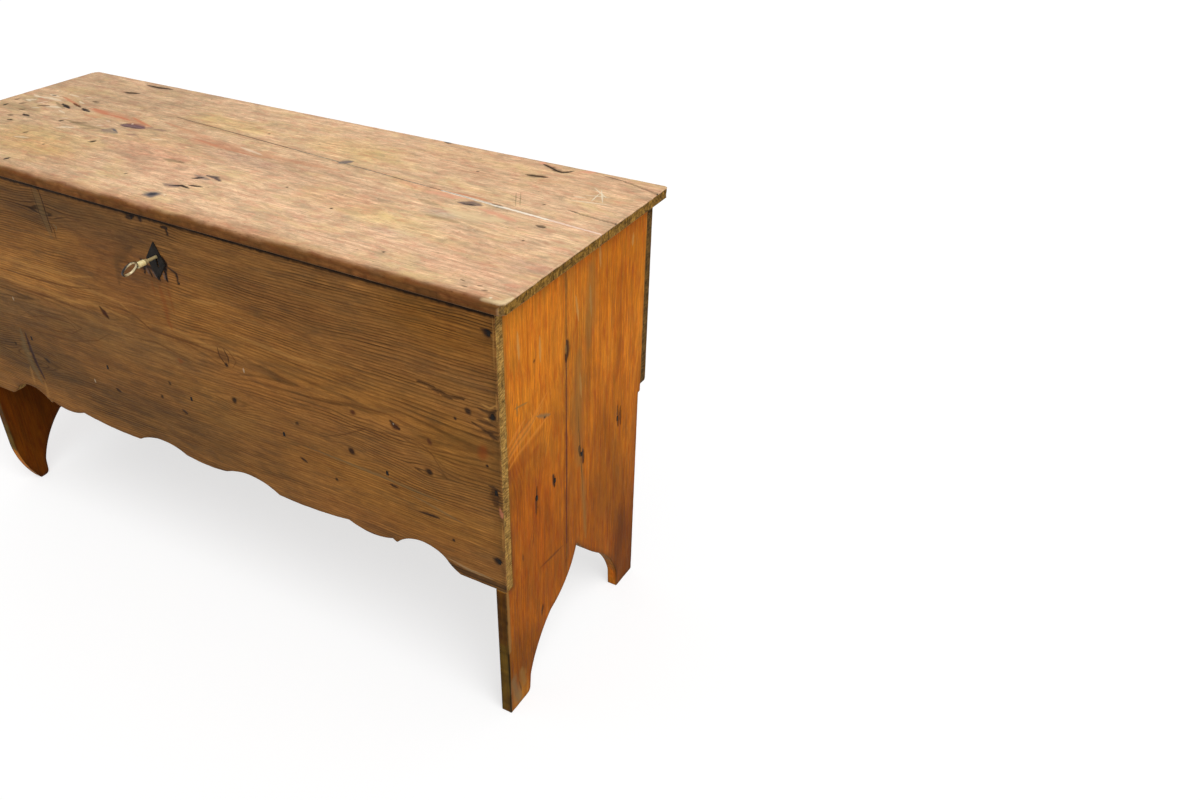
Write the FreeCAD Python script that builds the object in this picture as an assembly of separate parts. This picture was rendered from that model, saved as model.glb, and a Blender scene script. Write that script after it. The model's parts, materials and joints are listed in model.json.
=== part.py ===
import FreeCAD, Part
import math
import os
from FreeCAD import Vector

# An antique boarded blanket chest, in millimetres.
# +X runs along the chest to its right end, +Y from front to back, +Z up.
# The origin is at the centre of the whole chest's footprint, on the floor, key included.

# Case
CASE_LENGTH = 1100.0
CASE_DEPTH = 373.0
CHEST_HEIGHT = 660.0
END_THICKNESS = 16.5
FRONT_THICKNESS = 16.5
BACK_THICKNESS = 15.5
END_SEAM_FROM_FRONT = 156.0
FRONT_EDGE_HEIGHT = 231.0
FRONT_EDGE_FALL = 10.0
BACK_EDGE_HEIGHT = 352.0
BACK_SEAM_HEIGHT = 504.0
BACK_CORNER_RADIUS = 9.0

# Floor of the chest and the cleats under it
FLOOR_THICKNESS = 14.0
FLOOR_FRONT_WIDTH = 182.0
CLEAT_WIDTH = 22.0
CLEAT_HEIGHT = 32.0
CLEAT_SHORTENING = 12.0

# Lid
LID_THICKNESS = 15.0
LID_OVER_RIGHT = 16.0
LID_OVER_LEFT = 34.0
LID_OVER_FRONT = 5.5
LID_OVER_BACK = 10.5
LID_SEAM_RIGHT = 220.0
LID_SEAM_LEFT = 316.0
LID_EDGE_ROUND = 5.0
LID_CORNER_CUT = 7.0
LID_REAR_RIGHT_CUT = 2.5
BATTEN_WIDTH = 45.0
BATTEN_THICKNESS = 14.0
BATTEN_FROM_END = 60.0
BATTEN_FRONT_GAP = 15.0
BATTEN_BACK_GAP = 20.0

# Bootjack cut-out of each end
RIGHT_FOOT_WIDTH = 51.5
LEFT_FOOT_WIDTH = 46.5
BACK_FOOT_WIDTH = 57.0
FOOT_TOE_HEIGHT = 31.0
FOOT_TOE_LEAN = 2.0
FOOT_TOE_WEAR = 8.0
CUSP_FROM_TOE = 59.5
CUSP_HEIGHT = 113.0
ARCH_FROM_FRONT = 185.0
ARCH_HEIGHT = 185.0
FOOT_CURVE_BULGE = 12.0
FRONT_ARCH_DIP = 16.0
BACK_ARCH_DIP = 4.0
REAR_LEG_SETBACK = 6.0
REAR_LEG_GAP = 6.0
LEFT_TOE_WEAR_HEIGHT = 85.0
LEFT_TOE_WEAR_WIDTH = 28.0
LEFT_TOE_WEAR_MIDDLE = (8.0, 42.0)

# Scalloped lower edge of the front board, from one end to the middle.
# Each step is its width, the rise at its middle and the rise at its end.
APRON_STEPS = (
    (74.0, 0.0, 0.0),
    (24.0, 7.0, 20.0),
    (83.0, 32.0, 12.0),
    (7.0, 14.0, 16.0),
    (78.0, 9.5, 18.0),
    (134.0, 11.0, 11.0),
    (107.0, 27.0, 16.0),
)
APRON_MIDDLE_WIDTH = 86.0
APRON_MIDDLE_RISE = 12.5
STRAIGHT_STEPS = (0, 3)

# Cut nails
NAIL_SHANK = 3.0
NAIL_HEAD_WIDTH = 4.0
NAIL_HEAD_LENGTH = 7.0
NAIL_HEAD_DEPTH = 1.6
NAIL_LENGTH = 42.0
SHORT_NAIL_LENGTH = 24.0
NAIL_EDGE = 25.0
FRONT_NAIL_COUNT = 4
FRONT_NAIL_FROM_TOP = 28.0
FRONT_NAIL_FROM_EDGE = 50.0
BACK_NAIL_COUNT = 3
BACK_NAIL_INSET = 20.0
CLEAT_NAIL_DEPTHS = (80.0, 126.0, 198.0, 302.0)
FLOOR_NAIL_COUNT = 5
BATTEN_NAIL_COUNT = 4

# Snipe hinges: two linked staples each
HINGE_FROM_RIGHT = 157.0
HINGE_FROM_LEFT = 130.0
HINGE_BACKSET = 6.0
HINGE_DROP = 8.0
HINGE_WIRE = 3.0
EYE_WIDTH = 10.0
LOOP_WIRE = 2.6
LOOP_INNER_RADIUS = 2.9
LEG_SPACING = 2.4
FORWARD_CLINCH = 46.0
SIDE_CLINCH = 33.0
INNER_CLINCH = 24.0
WIRE_FIT = 0.1

# Lock, key and escutcheon
KEYHOLE_FROM_RIGHT = 552.0
KEYHOLE_BELOW_LID = 59.0
LOCK_PLATE_WIDTH = 80.0
LOCK_PLATE_HEIGHT = 92.0
LOCK_PLATE_THICKNESS = 2.0
LOCK_PLATE_BELOW_LID = 5.0
LOCK_CASE_WIDTH = 52.0
LOCK_CASE_HEIGHT = 78.0
LOCK_CASE_DEPTH = 20.0
LOCK_CASE_WALL = 1.5
LOCK_NAIL_INSET = 6.0
LOCK_NAIL_SIZE = 2.6
BOLT_BELOW_LID = 24.5
BOLT_HEIGHT = 9.0
BOLT_THICKNESS = 5.0
BOLT_LENGTH = 18.0
BOLT_FROM_TONGUE = 2.0
BOLT_OFF_PLATE = 5.5
GUIDE_WALL = 2.0
GUIDE_LENGTH = 4.0
GUIDE_SPACING = 8.0
SLIDE_FIT = 0.35
TONGUE_THICKNESS = 3.0
TONGUE_BAR = 2.6
TONGUE_SLACK = 1.2
TONGUE_SLOT_GAP = 1.2
HASP_WIDTH = 44.0
HASP_DEPTH = 18.0
HASP_THICKNESS = 2.0
HASP_NAIL_LENGTH = 11.0
KEY_SHANK = 4.6
KEY_BORE = 2.6
KEY_POST = 2.0
KEY_POST_IN_KEY = 9.0
KEY_IN_LOCK = 12.0
BIT_LENGTH = 9.0
BIT_REACH = 13.0
BIT_THICKNESS = 2.4
BIT_NOTCH = 2.0
KEY_REST_TURN = 33.0
COLLAR_START = 22.0
COLLAR_LENGTH = 11.0
COLLAR_RADIUS = 4.2
FLANGE_START = 17.5
FLANGE_LENGTH = 2.2
FLANGE_RADIUS = 3.6
BOW_CENTRE = 46.0
BOW_OUTER_RADIUS = 13.0
BOW_WIRE = 3.4
KEYHOLE_RADIUS = 3.4
KEYHOLE_SLOT = 3.4
KEYHOLE_REACH = 15.0
ESCUTCHEON_WIDTH = 36.0
ESCUTCHEON_HEIGHT = 58.0
ESCUTCHEON_THICKNESS = 1.5
ESCUTCHEON_TILT = 6.0
ESCUTCHEON_BELOW_KEYHOLE = 7.0
ESCUTCHEON_LEFT_OF_KEYHOLE = 3.0
PIN_RADIUS = 1.0
PIN_LENGTH = 9.0
PIN_HEAD_RADIUS = 1.7
PIN_HEAD_DEPTH = 0.6
PIN_INSET = 5.0

# Places worked out from the sizes above
RIGHT = CASE_LENGTH / 2 + (LID_OVER_LEFT - LID_OVER_RIGHT) / 2
LEFT = RIGHT - CASE_LENGTH
RIGHT_INNER = RIGHT - END_THICKNESS
LEFT_INNER = LEFT + END_THICKNESS
KEY_REACH = BOW_CENTRE + BOW_OUTER_RADIUS
WHOLE_DEPTH = KEY_REACH + CASE_DEPTH + BACK_THICKNESS + LID_OVER_BACK
FRONT = KEY_REACH - WHOLE_DEPTH / 2
REAR = FRONT + CASE_DEPTH
BACK_FACE = REAR + BACK_THICKNESS
FRONT_INNER = FRONT + FRONT_THICKNESS
CASE_TOP = CHEST_HEIGHT - LID_THICKNESS
LID_FRONT = FRONT - LID_OVER_FRONT
LID_REAR = BACK_FACE + LID_OVER_BACK
LID_RIGHT = RIGHT + LID_OVER_RIGHT
LID_LEFT = LEFT - LID_OVER_LEFT
FLOOR_BOTTOM = BACK_EDGE_HEIGHT
FLOOR_TOP = FLOOR_BOTTOM + FLOOR_THICKNESS
HINGE_Y = BACK_FACE + HINGE_BACKSET
HINGE_Z = CASE_TOP - HINGE_DROP
HINGE_PLACES = {"right": RIGHT - HINGE_FROM_RIGHT, "left": LEFT + HINGE_FROM_LEFT}
KEY_X = RIGHT - KEYHOLE_FROM_RIGHT
KEY_Z = CASE_TOP - KEYHOLE_BELOW_LID
PLATE_INNER = FRONT_INNER + LOCK_PLATE_THICKNESS
PLATE_TOP = CASE_TOP - LOCK_PLATE_BELOW_LID
CASE_BACK = PLATE_INNER + LOCK_CASE_DEPTH
LOCK_CASE_TOP = PLATE_TOP - (LOCK_PLATE_HEIGHT - LOCK_CASE_HEIGHT) / 2
BOLT_Z = CASE_TOP - BOLT_BELOW_LID
BOLT_Y = PLATE_INNER + BOLT_OFF_PLATE + BOLT_THICKNESS / 2
TONGUE_HALF_DEPTH = BOLT_THICKNESS / 2 + TONGUE_SLACK + TONGUE_BAR
TONGUE_BOTTOM = BOLT_Z - BOLT_HEIGHT / 2 - TONGUE_SLACK - TONGUE_BAR


def block(x0, x1, y0, y1, z0, z1):
    """A box between two corners."""
    return Part.makeBox(x1 - x0, y1 - y0, z1 - z0, Vector(x0, y0, z0))


def centred_block(centre, size):
    """A box of the given size round its centre."""
    corner = [c - s / 2 for c, s in zip(centre, size)]
    return Part.makeBox(size[0], size[1], size[2], Vector(*corner))


def rod(start, end, radius):
    """A round bar from one point to another."""
    start = Vector(*start)
    run = Vector(*end) - start
    return Part.makeCylinder(radius, run.Length, start, run)


def bent_rod(points, radius):
    """A round bar along straight runs, with a ball at each bend."""
    pieces = [rod(a, b, radius) for a, b in zip(points, points[1:])]
    pieces += [Part.makeSphere(radius, Vector(*p)) for p in points[1:-1]]
    return pieces[0].fuse(pieces[1:]).removeSplitter()


def prism(edges, run):
    """A solid from a closed outline, pushed along one vector."""
    return Part.Face(Part.Wire(edges)).extrude(Vector(*run))


def line(a, b):
    return Part.LineSegment(Vector(*a), Vector(*b)).toShape()


def arc(a, middle, b):
    return Part.Arc(Vector(*a), Vector(*middle), Vector(*b)).toShape()


def polygon(points):
    """Straight edges round a closed outline."""
    return [line(a, b) for a, b in zip(points, points[1:] + points[:1])]


def turned(shape, centre, axis, degrees):
    """A copy of the shape, turned about an axis."""
    copy = shape.copy()
    copy.rotate(Vector(*centre), Vector(*axis), degrees)
    return copy


def cut_nail(head, direction, length, size=NAIL_SHANK):
    """A square nail driven along one axis, with its oblong head flush at a point.

    The head is long along Z where the nail is driven sideways, and along Y where it
    is driven up.
    """
    long_axis = 1 if direction[2] else 2
    shank_size = [size] * 3
    head_size = [NAIL_HEAD_WIDTH] * 3
    head_size[long_axis] = NAIL_HEAD_LENGTH
    axis = [abs(d) for d in direction].index(1)
    shank_size[axis] = length
    head_size[axis] = NAIL_HEAD_DEPTH
    shank_centre = [h + d * length / 2 for h, d in zip(head, direction)]
    head_centre = [h + d * NAIL_HEAD_DEPTH / 2 for h, d in zip(head, direction)]
    return centred_block(shank_centre, shank_size).fuse(centred_block(head_centre, head_size))


def spread(first, last, count):
    """Evenly spaced places from first to last."""
    return [first + (last - first) * i / (count - 1) for i in range(count)]


def front_nails():
    """Nails through the front board into the front edges of the ends."""
    nails = []
    top = CASE_TOP - FRONT_NAIL_FROM_TOP
    for x in (RIGHT - END_THICKNESS / 2, LEFT + END_THICKNESS / 2):
        for z in spread(top, FRONT_EDGE_HEIGHT + FRONT_NAIL_FROM_EDGE, FRONT_NAIL_COUNT):
            nails.append(cut_nail((x, FRONT, z), (0, 1, 0), NAIL_LENGTH))
    return nails


def back_nails():
    """Nails through the back boards into the rear edges of the ends."""
    nails = []
    heights = []
    for low, high in ((BACK_EDGE_HEIGHT, BACK_SEAM_HEIGHT), (BACK_SEAM_HEIGHT, CASE_TOP)):
        heights += spread(low + BACK_NAIL_INSET, high - BACK_NAIL_INSET, BACK_NAIL_COUNT)
    for x in (RIGHT - END_THICKNESS / 2, LEFT + END_THICKNESS / 2):
        for z in heights:
            nails.append(cut_nail((x, BACK_FACE, z), (0, -1, 0), NAIL_LENGTH))
    return nails


def cleat_nails():
    """Nails through the ends into the cleats under the floor."""
    nails = []
    z = FLOOR_BOTTOM - CLEAT_HEIGHT / 2
    for y in CLEAT_NAIL_DEPTHS:
        nails.append(cut_nail((RIGHT, FRONT + y, z), (-1, 0, 0), SHORT_NAIL_LENGTH))
        nails.append(cut_nail((LEFT, FRONT + y, z), (1, 0, 0), SHORT_NAIL_LENGTH))
    return nails


def floor_nails():
    """Nails through the front and back boards into the edges of the floor."""
    nails = []
    z = FLOOR_BOTTOM + FLOOR_THICKNESS / 2
    pitch = CASE_LENGTH / (FLOOR_NAIL_COUNT + 1)
    for i in range(FLOOR_NAIL_COUNT):
        x = LEFT + pitch * (i + 1)
        nails.append(cut_nail((x, FRONT, z), (0, 1, 0), NAIL_LENGTH))
        nails.append(cut_nail((x, BACK_FACE, z), (0, -1, 0), NAIL_LENGTH))
    return nails


def batten_places():
    """The middle of each lid batten along X."""
    inset = BATTEN_FROM_END + BATTEN_WIDTH / 2
    return {"right": RIGHT_INNER - inset, "left": LEFT_INNER + inset}


def batten_nails():
    """Nails up through the battens into both boards of the lid."""
    nails = []
    bottom = CASE_TOP - BATTEN_THICKNESS
    first = FRONT_INNER + BATTEN_FRONT_GAP + NAIL_EDGE
    last = REAR - BATTEN_BACK_GAP - NAIL_EDGE
    for x in batten_places().values():
        for y in spread(first, last, BATTEN_NAIL_COUNT):
            nails.append(cut_nail((x, y, bottom), (0, 0, 1), SHORT_NAIL_LENGTH))
    return nails


def edge_fall(x):
    """How much lower the front board's edge lies at x than at the right end."""
    return FRONT_EDGE_FALL * (RIGHT - x) / CASE_LENGTH


def apron_point(x, rise):
    return (x, FRONT, FRONT_EDGE_HEIGHT - edge_fall(x) + rise)


def apron_edges():
    """The scalloped lower edge, from the right end to the left."""
    steps = sum(step[0] for step in APRON_STEPS)
    stretch = CASE_LENGTH / (2 * steps + APRON_MIDDLE_WIDTH)
    edges = []
    for side, start in ((-1, RIGHT), (1, LEFT)):
        x = start
        rise = 0.0
        half = []
        for i, (width, middle_rise, end_rise) in enumerate(APRON_STEPS):
            run = side * width * stretch
            a = apron_point(x, rise)
            middle = apron_point(x + run / 2, middle_rise)
            b = apron_point(x + run, end_rise)
            half.append(line(a, b) if i in STRAIGHT_STEPS else arc(a, middle, b))
            x += run
            rise = end_rise
        edges += half
    last = APRON_STEPS[-1][2]
    half_middle = APRON_MIDDLE_WIDTH * stretch / 2
    centre = (RIGHT + LEFT) / 2
    a = apron_point(centre + half_middle, last)
    b = apron_point(centre - half_middle, last)
    edges.append(arc(a, apron_point(centre, APRON_MIDDLE_RISE), b))
    return edges


def keyhole_cut(y0, y1):
    """The tool for a keyhole: a round hole with a slot below it."""
    hole = rod((KEY_X, y0, KEY_Z), (KEY_X, y1, KEY_Z), KEYHOLE_RADIUS)
    half = KEYHOLE_SLOT / 2
    slot = block(KEY_X - half, KEY_X + half, y0, y1, KEY_Z - KEYHOLE_REACH, KEY_Z)
    return hole.fuse(slot)


def front_board():
    """One wide board, let into the ends, with a scalloped lower edge."""
    right_foot = apron_point(RIGHT, 0)
    left_foot = apron_point(LEFT, 0)
    top_right = (RIGHT, FRONT, CASE_TOP)
    top_left = (LEFT, FRONT, CASE_TOP)
    edges = apron_edges()
    edges += [line(right_foot, top_right), line(top_right, top_left), line(top_left, left_foot)]
    board = prism(Part.__sortEdges__(edges), (0, FRONT_THICKNESS, 0))
    return board.cut(keyhole_cut(FRONT - 1, FRONT_INNER + 1))


def bootjack(x0, x1, foot_width):
    """The tool for the cut-out between the two feet of an end."""
    front_toe = FRONT + foot_width
    back_toe = REAR - BACK_FOOT_WIDTH
    middle = FRONT + ARCH_FROM_FRONT
    front_wear = (x0, front_toe - FOOT_TOE_WEAR, 0)
    front_wear_top = (x0, front_toe, FOOT_TOE_WEAR)
    front_knee = (x0, front_toe + FOOT_TOE_LEAN, FOOT_TOE_HEIGHT)
    back_knee = (x0, back_toe - FOOT_TOE_LEAN, FOOT_TOE_HEIGHT)
    front_cusp = (x0, front_toe + CUSP_FROM_TOE, CUSP_HEIGHT)
    back_cusp = (x0, back_toe - CUSP_FROM_TOE, CUSP_HEIGHT)
    apex = (x0, middle, ARCH_HEIGHT)
    worn = FOOT_TOE_WEAR * (1 - math.sqrt(0.5))

    def between(a, b, lift):
        return (x0, (a[1] + b[1]) / 2, (a[2] + b[2]) / 2 + lift)

    edges = [
        arc(front_wear, (x0, front_toe - worn, worn), front_wear_top),
        line(front_wear_top, front_knee),
        arc(front_knee, between(front_knee, front_cusp, FOOT_CURVE_BULGE), front_cusp),
        arc(front_cusp, between(front_cusp, apex, -FRONT_ARCH_DIP), apex),
        arc(apex, between(apex, back_cusp, -BACK_ARCH_DIP), back_cusp),
        arc(back_cusp, between(back_cusp, back_knee, FOOT_CURVE_BULGE), back_knee),
        line(back_knee, (x0, back_toe, 0)),
        line((x0, back_toe, 0), front_wear),
    ]
    return prism(edges, (x1 - x0, 0, 0))


def worn_left_toe(x0, x1):
    """The tool for the left front foot's outer corner, worn away at the floor."""
    top = (x0, FRONT, LEFT_TOE_WEAR_HEIGHT)
    middle = (x0, FRONT + LEFT_TOE_WEAR_MIDDLE[0], LEFT_TOE_WEAR_MIDDLE[1])
    bottom = (x0, FRONT + LEFT_TOE_WEAR_WIDTH, 0)
    corner = (x0, FRONT, 0)
    edges = [arc(top, middle, bottom), line(bottom, corner), line(corner, top)]
    return prism(edges, (x1 - x0, 0, 0))


def end_boards(x0, x1, front, foot_width):
    """The front and rear boards of one end, notched for the front board."""
    seam = FRONT + END_SEAM_FROM_FRONT
    opening = bootjack(x0, x1, foot_width)
    leg_top = BACK_EDGE_HEIGHT - REAR_LEG_GAP
    setback = block(x0, x1, REAR - REAR_LEG_SETBACK, REAR, 0, leg_top)
    fore = block(x0, x1, FRONT, seam, 0, CASE_TOP).cut(front).cut(opening)
    rear = block(x0, x1, seam, REAR, 0, CASE_TOP).cut(opening).cut(setback)
    return fore, rear


def back_boards():
    """Two horizontal boards on the rear edges of the ends."""
    upper = block(LEFT, RIGHT, REAR, BACK_FACE, BACK_SEAM_HEIGHT, CASE_TOP)
    lower = block(LEFT, RIGHT, REAR, BACK_FACE, BACK_EDGE_HEIGHT, BACK_SEAM_HEIGHT)
    corners = [
        e for e in lower.Edges
        if abs(e.CenterOfMass.z - BACK_EDGE_HEIGHT) < 1e-3
        and abs(e.BoundBox.YLength - BACK_THICKNESS) < 1e-3
    ]
    return upper, lower.makeFillet(BACK_CORNER_RADIUS, corners)


def floor_boards():
    """Two boards side by side between the front and the back."""
    seam = FRONT_INNER + FLOOR_FRONT_WIDTH
    fore = block(LEFT_INNER, RIGHT_INNER, FRONT_INNER, seam, FLOOR_BOTTOM, FLOOR_TOP)
    rear = block(LEFT_INNER, RIGHT_INNER, seam, REAR, FLOOR_BOTTOM, FLOOR_TOP)
    return fore, rear


def cleat(x0, x1):
    """A cleat across the inside of an end, under the floor."""
    y0 = FRONT_INNER + CLEAT_SHORTENING
    y1 = REAR - CLEAT_SHORTENING
    return block(x0, x1, y0, y1, FLOOR_BOTTOM - CLEAT_HEIGHT, FLOOR_BOTTOM)


def lid_boards():
    """Two tapered boards that meet along a slanting seam, edges worn round."""
    seam_right = (LID_RIGHT, LID_FRONT + LID_SEAM_RIGHT, CASE_TOP)
    seam_left = (LID_LEFT, LID_FRONT + LID_SEAM_LEFT, CASE_TOP)
    cut = LID_CORNER_CUT
    fore = [
        (LID_LEFT, LID_FRONT, CASE_TOP),
        (LID_RIGHT - cut, LID_FRONT, CASE_TOP),
        (LID_RIGHT, LID_FRONT + cut, CASE_TOP),
        seam_right,
        seam_left,
    ]
    rear = [
        seam_left,
        seam_right,
        (LID_RIGHT, LID_REAR - LID_REAR_RIGHT_CUT, CASE_TOP),
        (LID_RIGHT - LID_REAR_RIGHT_CUT, LID_REAR, CASE_TOP),
        (LID_LEFT + cut, LID_REAR, CASE_TOP),
        (LID_LEFT, LID_REAR - cut, CASE_TOP),
    ]
    fore_board = prism(polygon(fore), (0, 0, LID_THICKNESS))
    rear_board = prism(polygon(rear), (0, 0, LID_THICKNESS))
    front_top = [
        e for e in fore_board.Edges
        if abs(e.CenterOfMass.z - CHEST_HEIGHT) < 1e-3
        and abs(e.CenterOfMass.y - LID_FRONT) < 1e-3
    ]
    return fore_board.makeFillet(LID_EDGE_ROUND, front_top), rear_board


def batten(x):
    """A batten across the underside of the lid, clear of the case."""
    y0 = FRONT_INNER + BATTEN_FRONT_GAP
    y1 = REAR - BATTEN_BACK_GAP
    half = BATTEN_WIDTH / 2
    return block(x - half, x + half, y0, y1, CASE_TOP - BATTEN_THICKNESS, CASE_TOP)


def case_staple(x, fit=0.0):
    """The staple through the back board, with its eye outside."""
    radius = HINGE_WIRE / 2 + fit
    half = EYE_WIDTH / 2
    inside = REAR - HINGE_WIRE / 2 - WIRE_FIT
    points = []
    for side in (-1, 1):
        leg = [
            (x + side * half, inside, HINGE_Z - INNER_CLINCH),
            (x + side * half, inside, HINGE_Z),
            (x + side * half, HINGE_Y, HINGE_Z),
        ]
        points += leg if side < 0 else leg[::-1]
    return bent_rod(points, radius)


def lid_staple(x, fit=0.0):
    """The loop round the eye, with two legs up through the lid and clinched."""
    radius = LOOP_WIRE / 2 + fit
    ring_radius = LOOP_INNER_RADIUS + LOOP_WIRE / 2
    ring = Part.makeTorus(ring_radius, radius, Vector(x, HINGE_Y, HINGE_Z), Vector(1, 0, 0))
    top = CHEST_HEIGHT - LOOP_WIRE / 2
    foot = HINGE_Z + ring_radius
    fore_y = HINGE_Y - LEG_SPACING / 2
    rear_y = HINGE_Y + LEG_SPACING / 2
    fore_path = [(x, fore_y, foot), (x, fore_y, top), (x, fore_y - FORWARD_CLINCH, top)]
    side_path = [(x, rear_y, foot), (x, rear_y, top), (x + SIDE_CLINCH, rear_y, top)]
    legs = [bent_rod(path, radius) for path in (fore_path, side_path)]
    return ring.fuse(legs).removeSplitter()


def lock_nails():
    """Nails from the lock plate through the front board."""
    nails = []
    half = LOCK_PLATE_WIDTH / 2 - LOCK_NAIL_INSET
    length = LOCK_PLATE_THICKNESS + FRONT_THICKNESS
    for x in (KEY_X - half, KEY_X + half):
        for z in (PLATE_TOP - LOCK_NAIL_INSET, PLATE_TOP - LOCK_PLATE_HEIGHT + LOCK_NAIL_INSET):
            nails.append(cut_nail((x, PLATE_INNER, z), (0, -1, 0), length, LOCK_NAIL_SIZE))
    return nails


def bolt():
    """The sliding bar, drawn back clear of the tongue at rest."""
    x1 = KEY_X - TONGUE_THICKNESS / 2 - BOLT_FROM_TONGUE
    centre = (x1 - BOLT_LENGTH / 2, BOLT_Y, BOLT_Z)
    return centred_block(centre, (BOLT_LENGTH, BOLT_THICKNESS, BOLT_HEIGHT))


def lock_plate():
    """The plate on the inside of the front board, with guides round the bolt."""
    half = LOCK_PLATE_WIDTH / 2
    bottom = PLATE_TOP - LOCK_PLATE_HEIGHT
    plate = block(KEY_X - half, KEY_X + half, FRONT_INNER, PLATE_INNER, bottom, PLATE_TOP)
    bar_end = KEY_X - TONGUE_THICKNESS / 2 - BOLT_FROM_TONGUE
    guide_y1 = BOLT_Y + BOLT_THICKNESS / 2 + SLIDE_FIT + GUIDE_WALL
    guide_half = BOLT_HEIGHT / 2 + SLIDE_FIT + GUIDE_WALL
    guides = []
    for i in range(2):
        x1 = bar_end - GUIDE_LENGTH / 2 - i * GUIDE_SPACING
        low, high = BOLT_Z - guide_half, BOLT_Z + guide_half
        guides.append(block(x1 - GUIDE_LENGTH, x1, PLATE_INNER, guide_y1, low, high))
    depth = BOLT_THICKNESS + 2 * SLIDE_FIT
    height = BOLT_HEIGHT + 2 * SLIDE_FIT
    way = centred_block((KEY_X, BOLT_Y, BOLT_Z), (LOCK_PLATE_WIDTH, depth, height))
    body = plate.fuse([guide.cut(way) for guide in guides])
    return body.cut(keyhole_cut(FRONT_INNER - 1, PLATE_INNER + 1))


def lock_case():
    """The box over the works, open to the plate, slotted on top for the tongue."""
    half = LOCK_CASE_WIDTH / 2
    wall = LOCK_CASE_WALL
    bottom = LOCK_CASE_TOP - LOCK_CASE_HEIGHT
    outer = block(KEY_X - half, KEY_X + half, PLATE_INNER, CASE_BACK, bottom, LOCK_CASE_TOP)
    inner = block(
        KEY_X - half + wall, KEY_X + half - wall, PLATE_INNER, CASE_BACK - wall,
        bottom + wall, LOCK_CASE_TOP - wall,
    )
    slot_width = TONGUE_THICKNESS + 2 * TONGUE_SLOT_GAP
    slot_depth = 2 * (TONGUE_HALF_DEPTH + TONGUE_SLOT_GAP)
    slot = centred_block((KEY_X, BOLT_Y, LOCK_CASE_TOP), (slot_width, slot_depth, 4 * wall))
    return outer.cut(inner).cut(slot)


def key_end():
    """How far back the key's shank reaches."""
    return PLATE_INNER + KEY_IN_LOCK


def key_post():
    """The pin that the hollow end of the key turns on."""
    tip = (KEY_X, key_end() - KEY_POST_IN_KEY, KEY_Z)
    root = (KEY_X, CASE_BACK - LOCK_CASE_WALL, KEY_Z)
    return rod(tip, root, KEY_POST / 2)


def hasp():
    """The plate under the lid with the pierced tongue that the bolt enters."""
    bottom = CASE_TOP - HASP_THICKNESS
    plate_centre = (KEY_X, BOLT_Y, CASE_TOP - HASP_THICKNESS / 2)
    plate = centred_block(plate_centre, (HASP_WIDTH, HASP_DEPTH, HASP_THICKNESS))
    tongue_centre = (KEY_X, BOLT_Y, (TONGUE_BOTTOM + bottom) / 2)
    tongue_size = (TONGUE_THICKNESS, 2 * TONGUE_HALF_DEPTH, bottom - TONGUE_BOTTOM)
    tongue = centred_block(tongue_centre, tongue_size)
    hole = centred_block(
        (KEY_X, BOLT_Y, BOLT_Z),
        (2 * TONGUE_THICKNESS, BOLT_THICKNESS + 2 * TONGUE_SLACK, BOLT_HEIGHT + 2 * TONGUE_SLACK),
    )
    return plate.fuse(tongue.cut(hole)).removeSplitter()


def hasp_nails():
    """Nails up through the tongue's plate into the lid."""
    nails = []
    for side in (-1, 1):
        x = KEY_X + side * (HASP_WIDTH / 2 - LOCK_NAIL_INSET)
        head = (x, BOLT_Y, CASE_TOP - HASP_THICKNESS)
        nails.append(cut_nail(head, (0, 0, 1), HASP_NAIL_LENGTH, LOCK_NAIL_SIZE))
    return nails


def key():
    """Bow, shank and notched bit, turned in the keyhole as the key stands."""
    far = FRONT - BOW_CENTRE + BOW_OUTER_RADIUS - BOW_WIRE / 2
    near = key_end()
    ring = Part.makeTorus(
        BOW_OUTER_RADIUS - BOW_WIRE / 2, BOW_WIRE / 2,
        Vector(KEY_X, FRONT - BOW_CENTRE, KEY_Z), Vector(1, 0, 0),
    )
    shank = rod((KEY_X, far, KEY_Z), (KEY_X, near, KEY_Z), KEY_SHANK / 2)
    flange_y = FRONT - FLANGE_START
    flange = rod((KEY_X, flange_y - FLANGE_LENGTH, KEY_Z), (KEY_X, flange_y, KEY_Z), FLANGE_RADIUS)
    half = BIT_THICKNESS / 2
    bit = block(KEY_X - half, KEY_X + half, near - BIT_LENGTH, near, KEY_Z - BIT_REACH, KEY_Z)
    notch_y = near - BIT_LENGTH / 2
    notch = block(
        KEY_X - half, KEY_X + half, notch_y - BIT_NOTCH / 2, notch_y + BIT_NOTCH / 2,
        KEY_Z - BIT_REACH, KEY_Z - BIT_REACH + 2 * BIT_NOTCH,
    )
    whole = ring.fuse([shank, flange, bit]).cut(notch)
    bore = rod((KEY_X, near - KEY_IN_LOCK, KEY_Z), (KEY_X, near + 1, KEY_Z), KEY_BORE / 2)
    return turned(whole.cut(bore), (KEY_X, FRONT, KEY_Z), (0, 1, 0), KEY_REST_TURN)


def key_collar(key_shape):
    """The brass sleeve between the bow and the shank."""
    y0 = FRONT - COLLAR_START - COLLAR_LENGTH
    sleeve = rod((KEY_X, y0, KEY_Z), (KEY_X, y0 + COLLAR_LENGTH, KEY_Z), COLLAR_RADIUS)
    return sleeve.cut(key_shape)


def escutcheon_centre():
    return KEY_X - ESCUTCHEON_LEFT_OF_KEYHOLE, KEY_Z - ESCUTCHEON_BELOW_KEYHOLE


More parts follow.
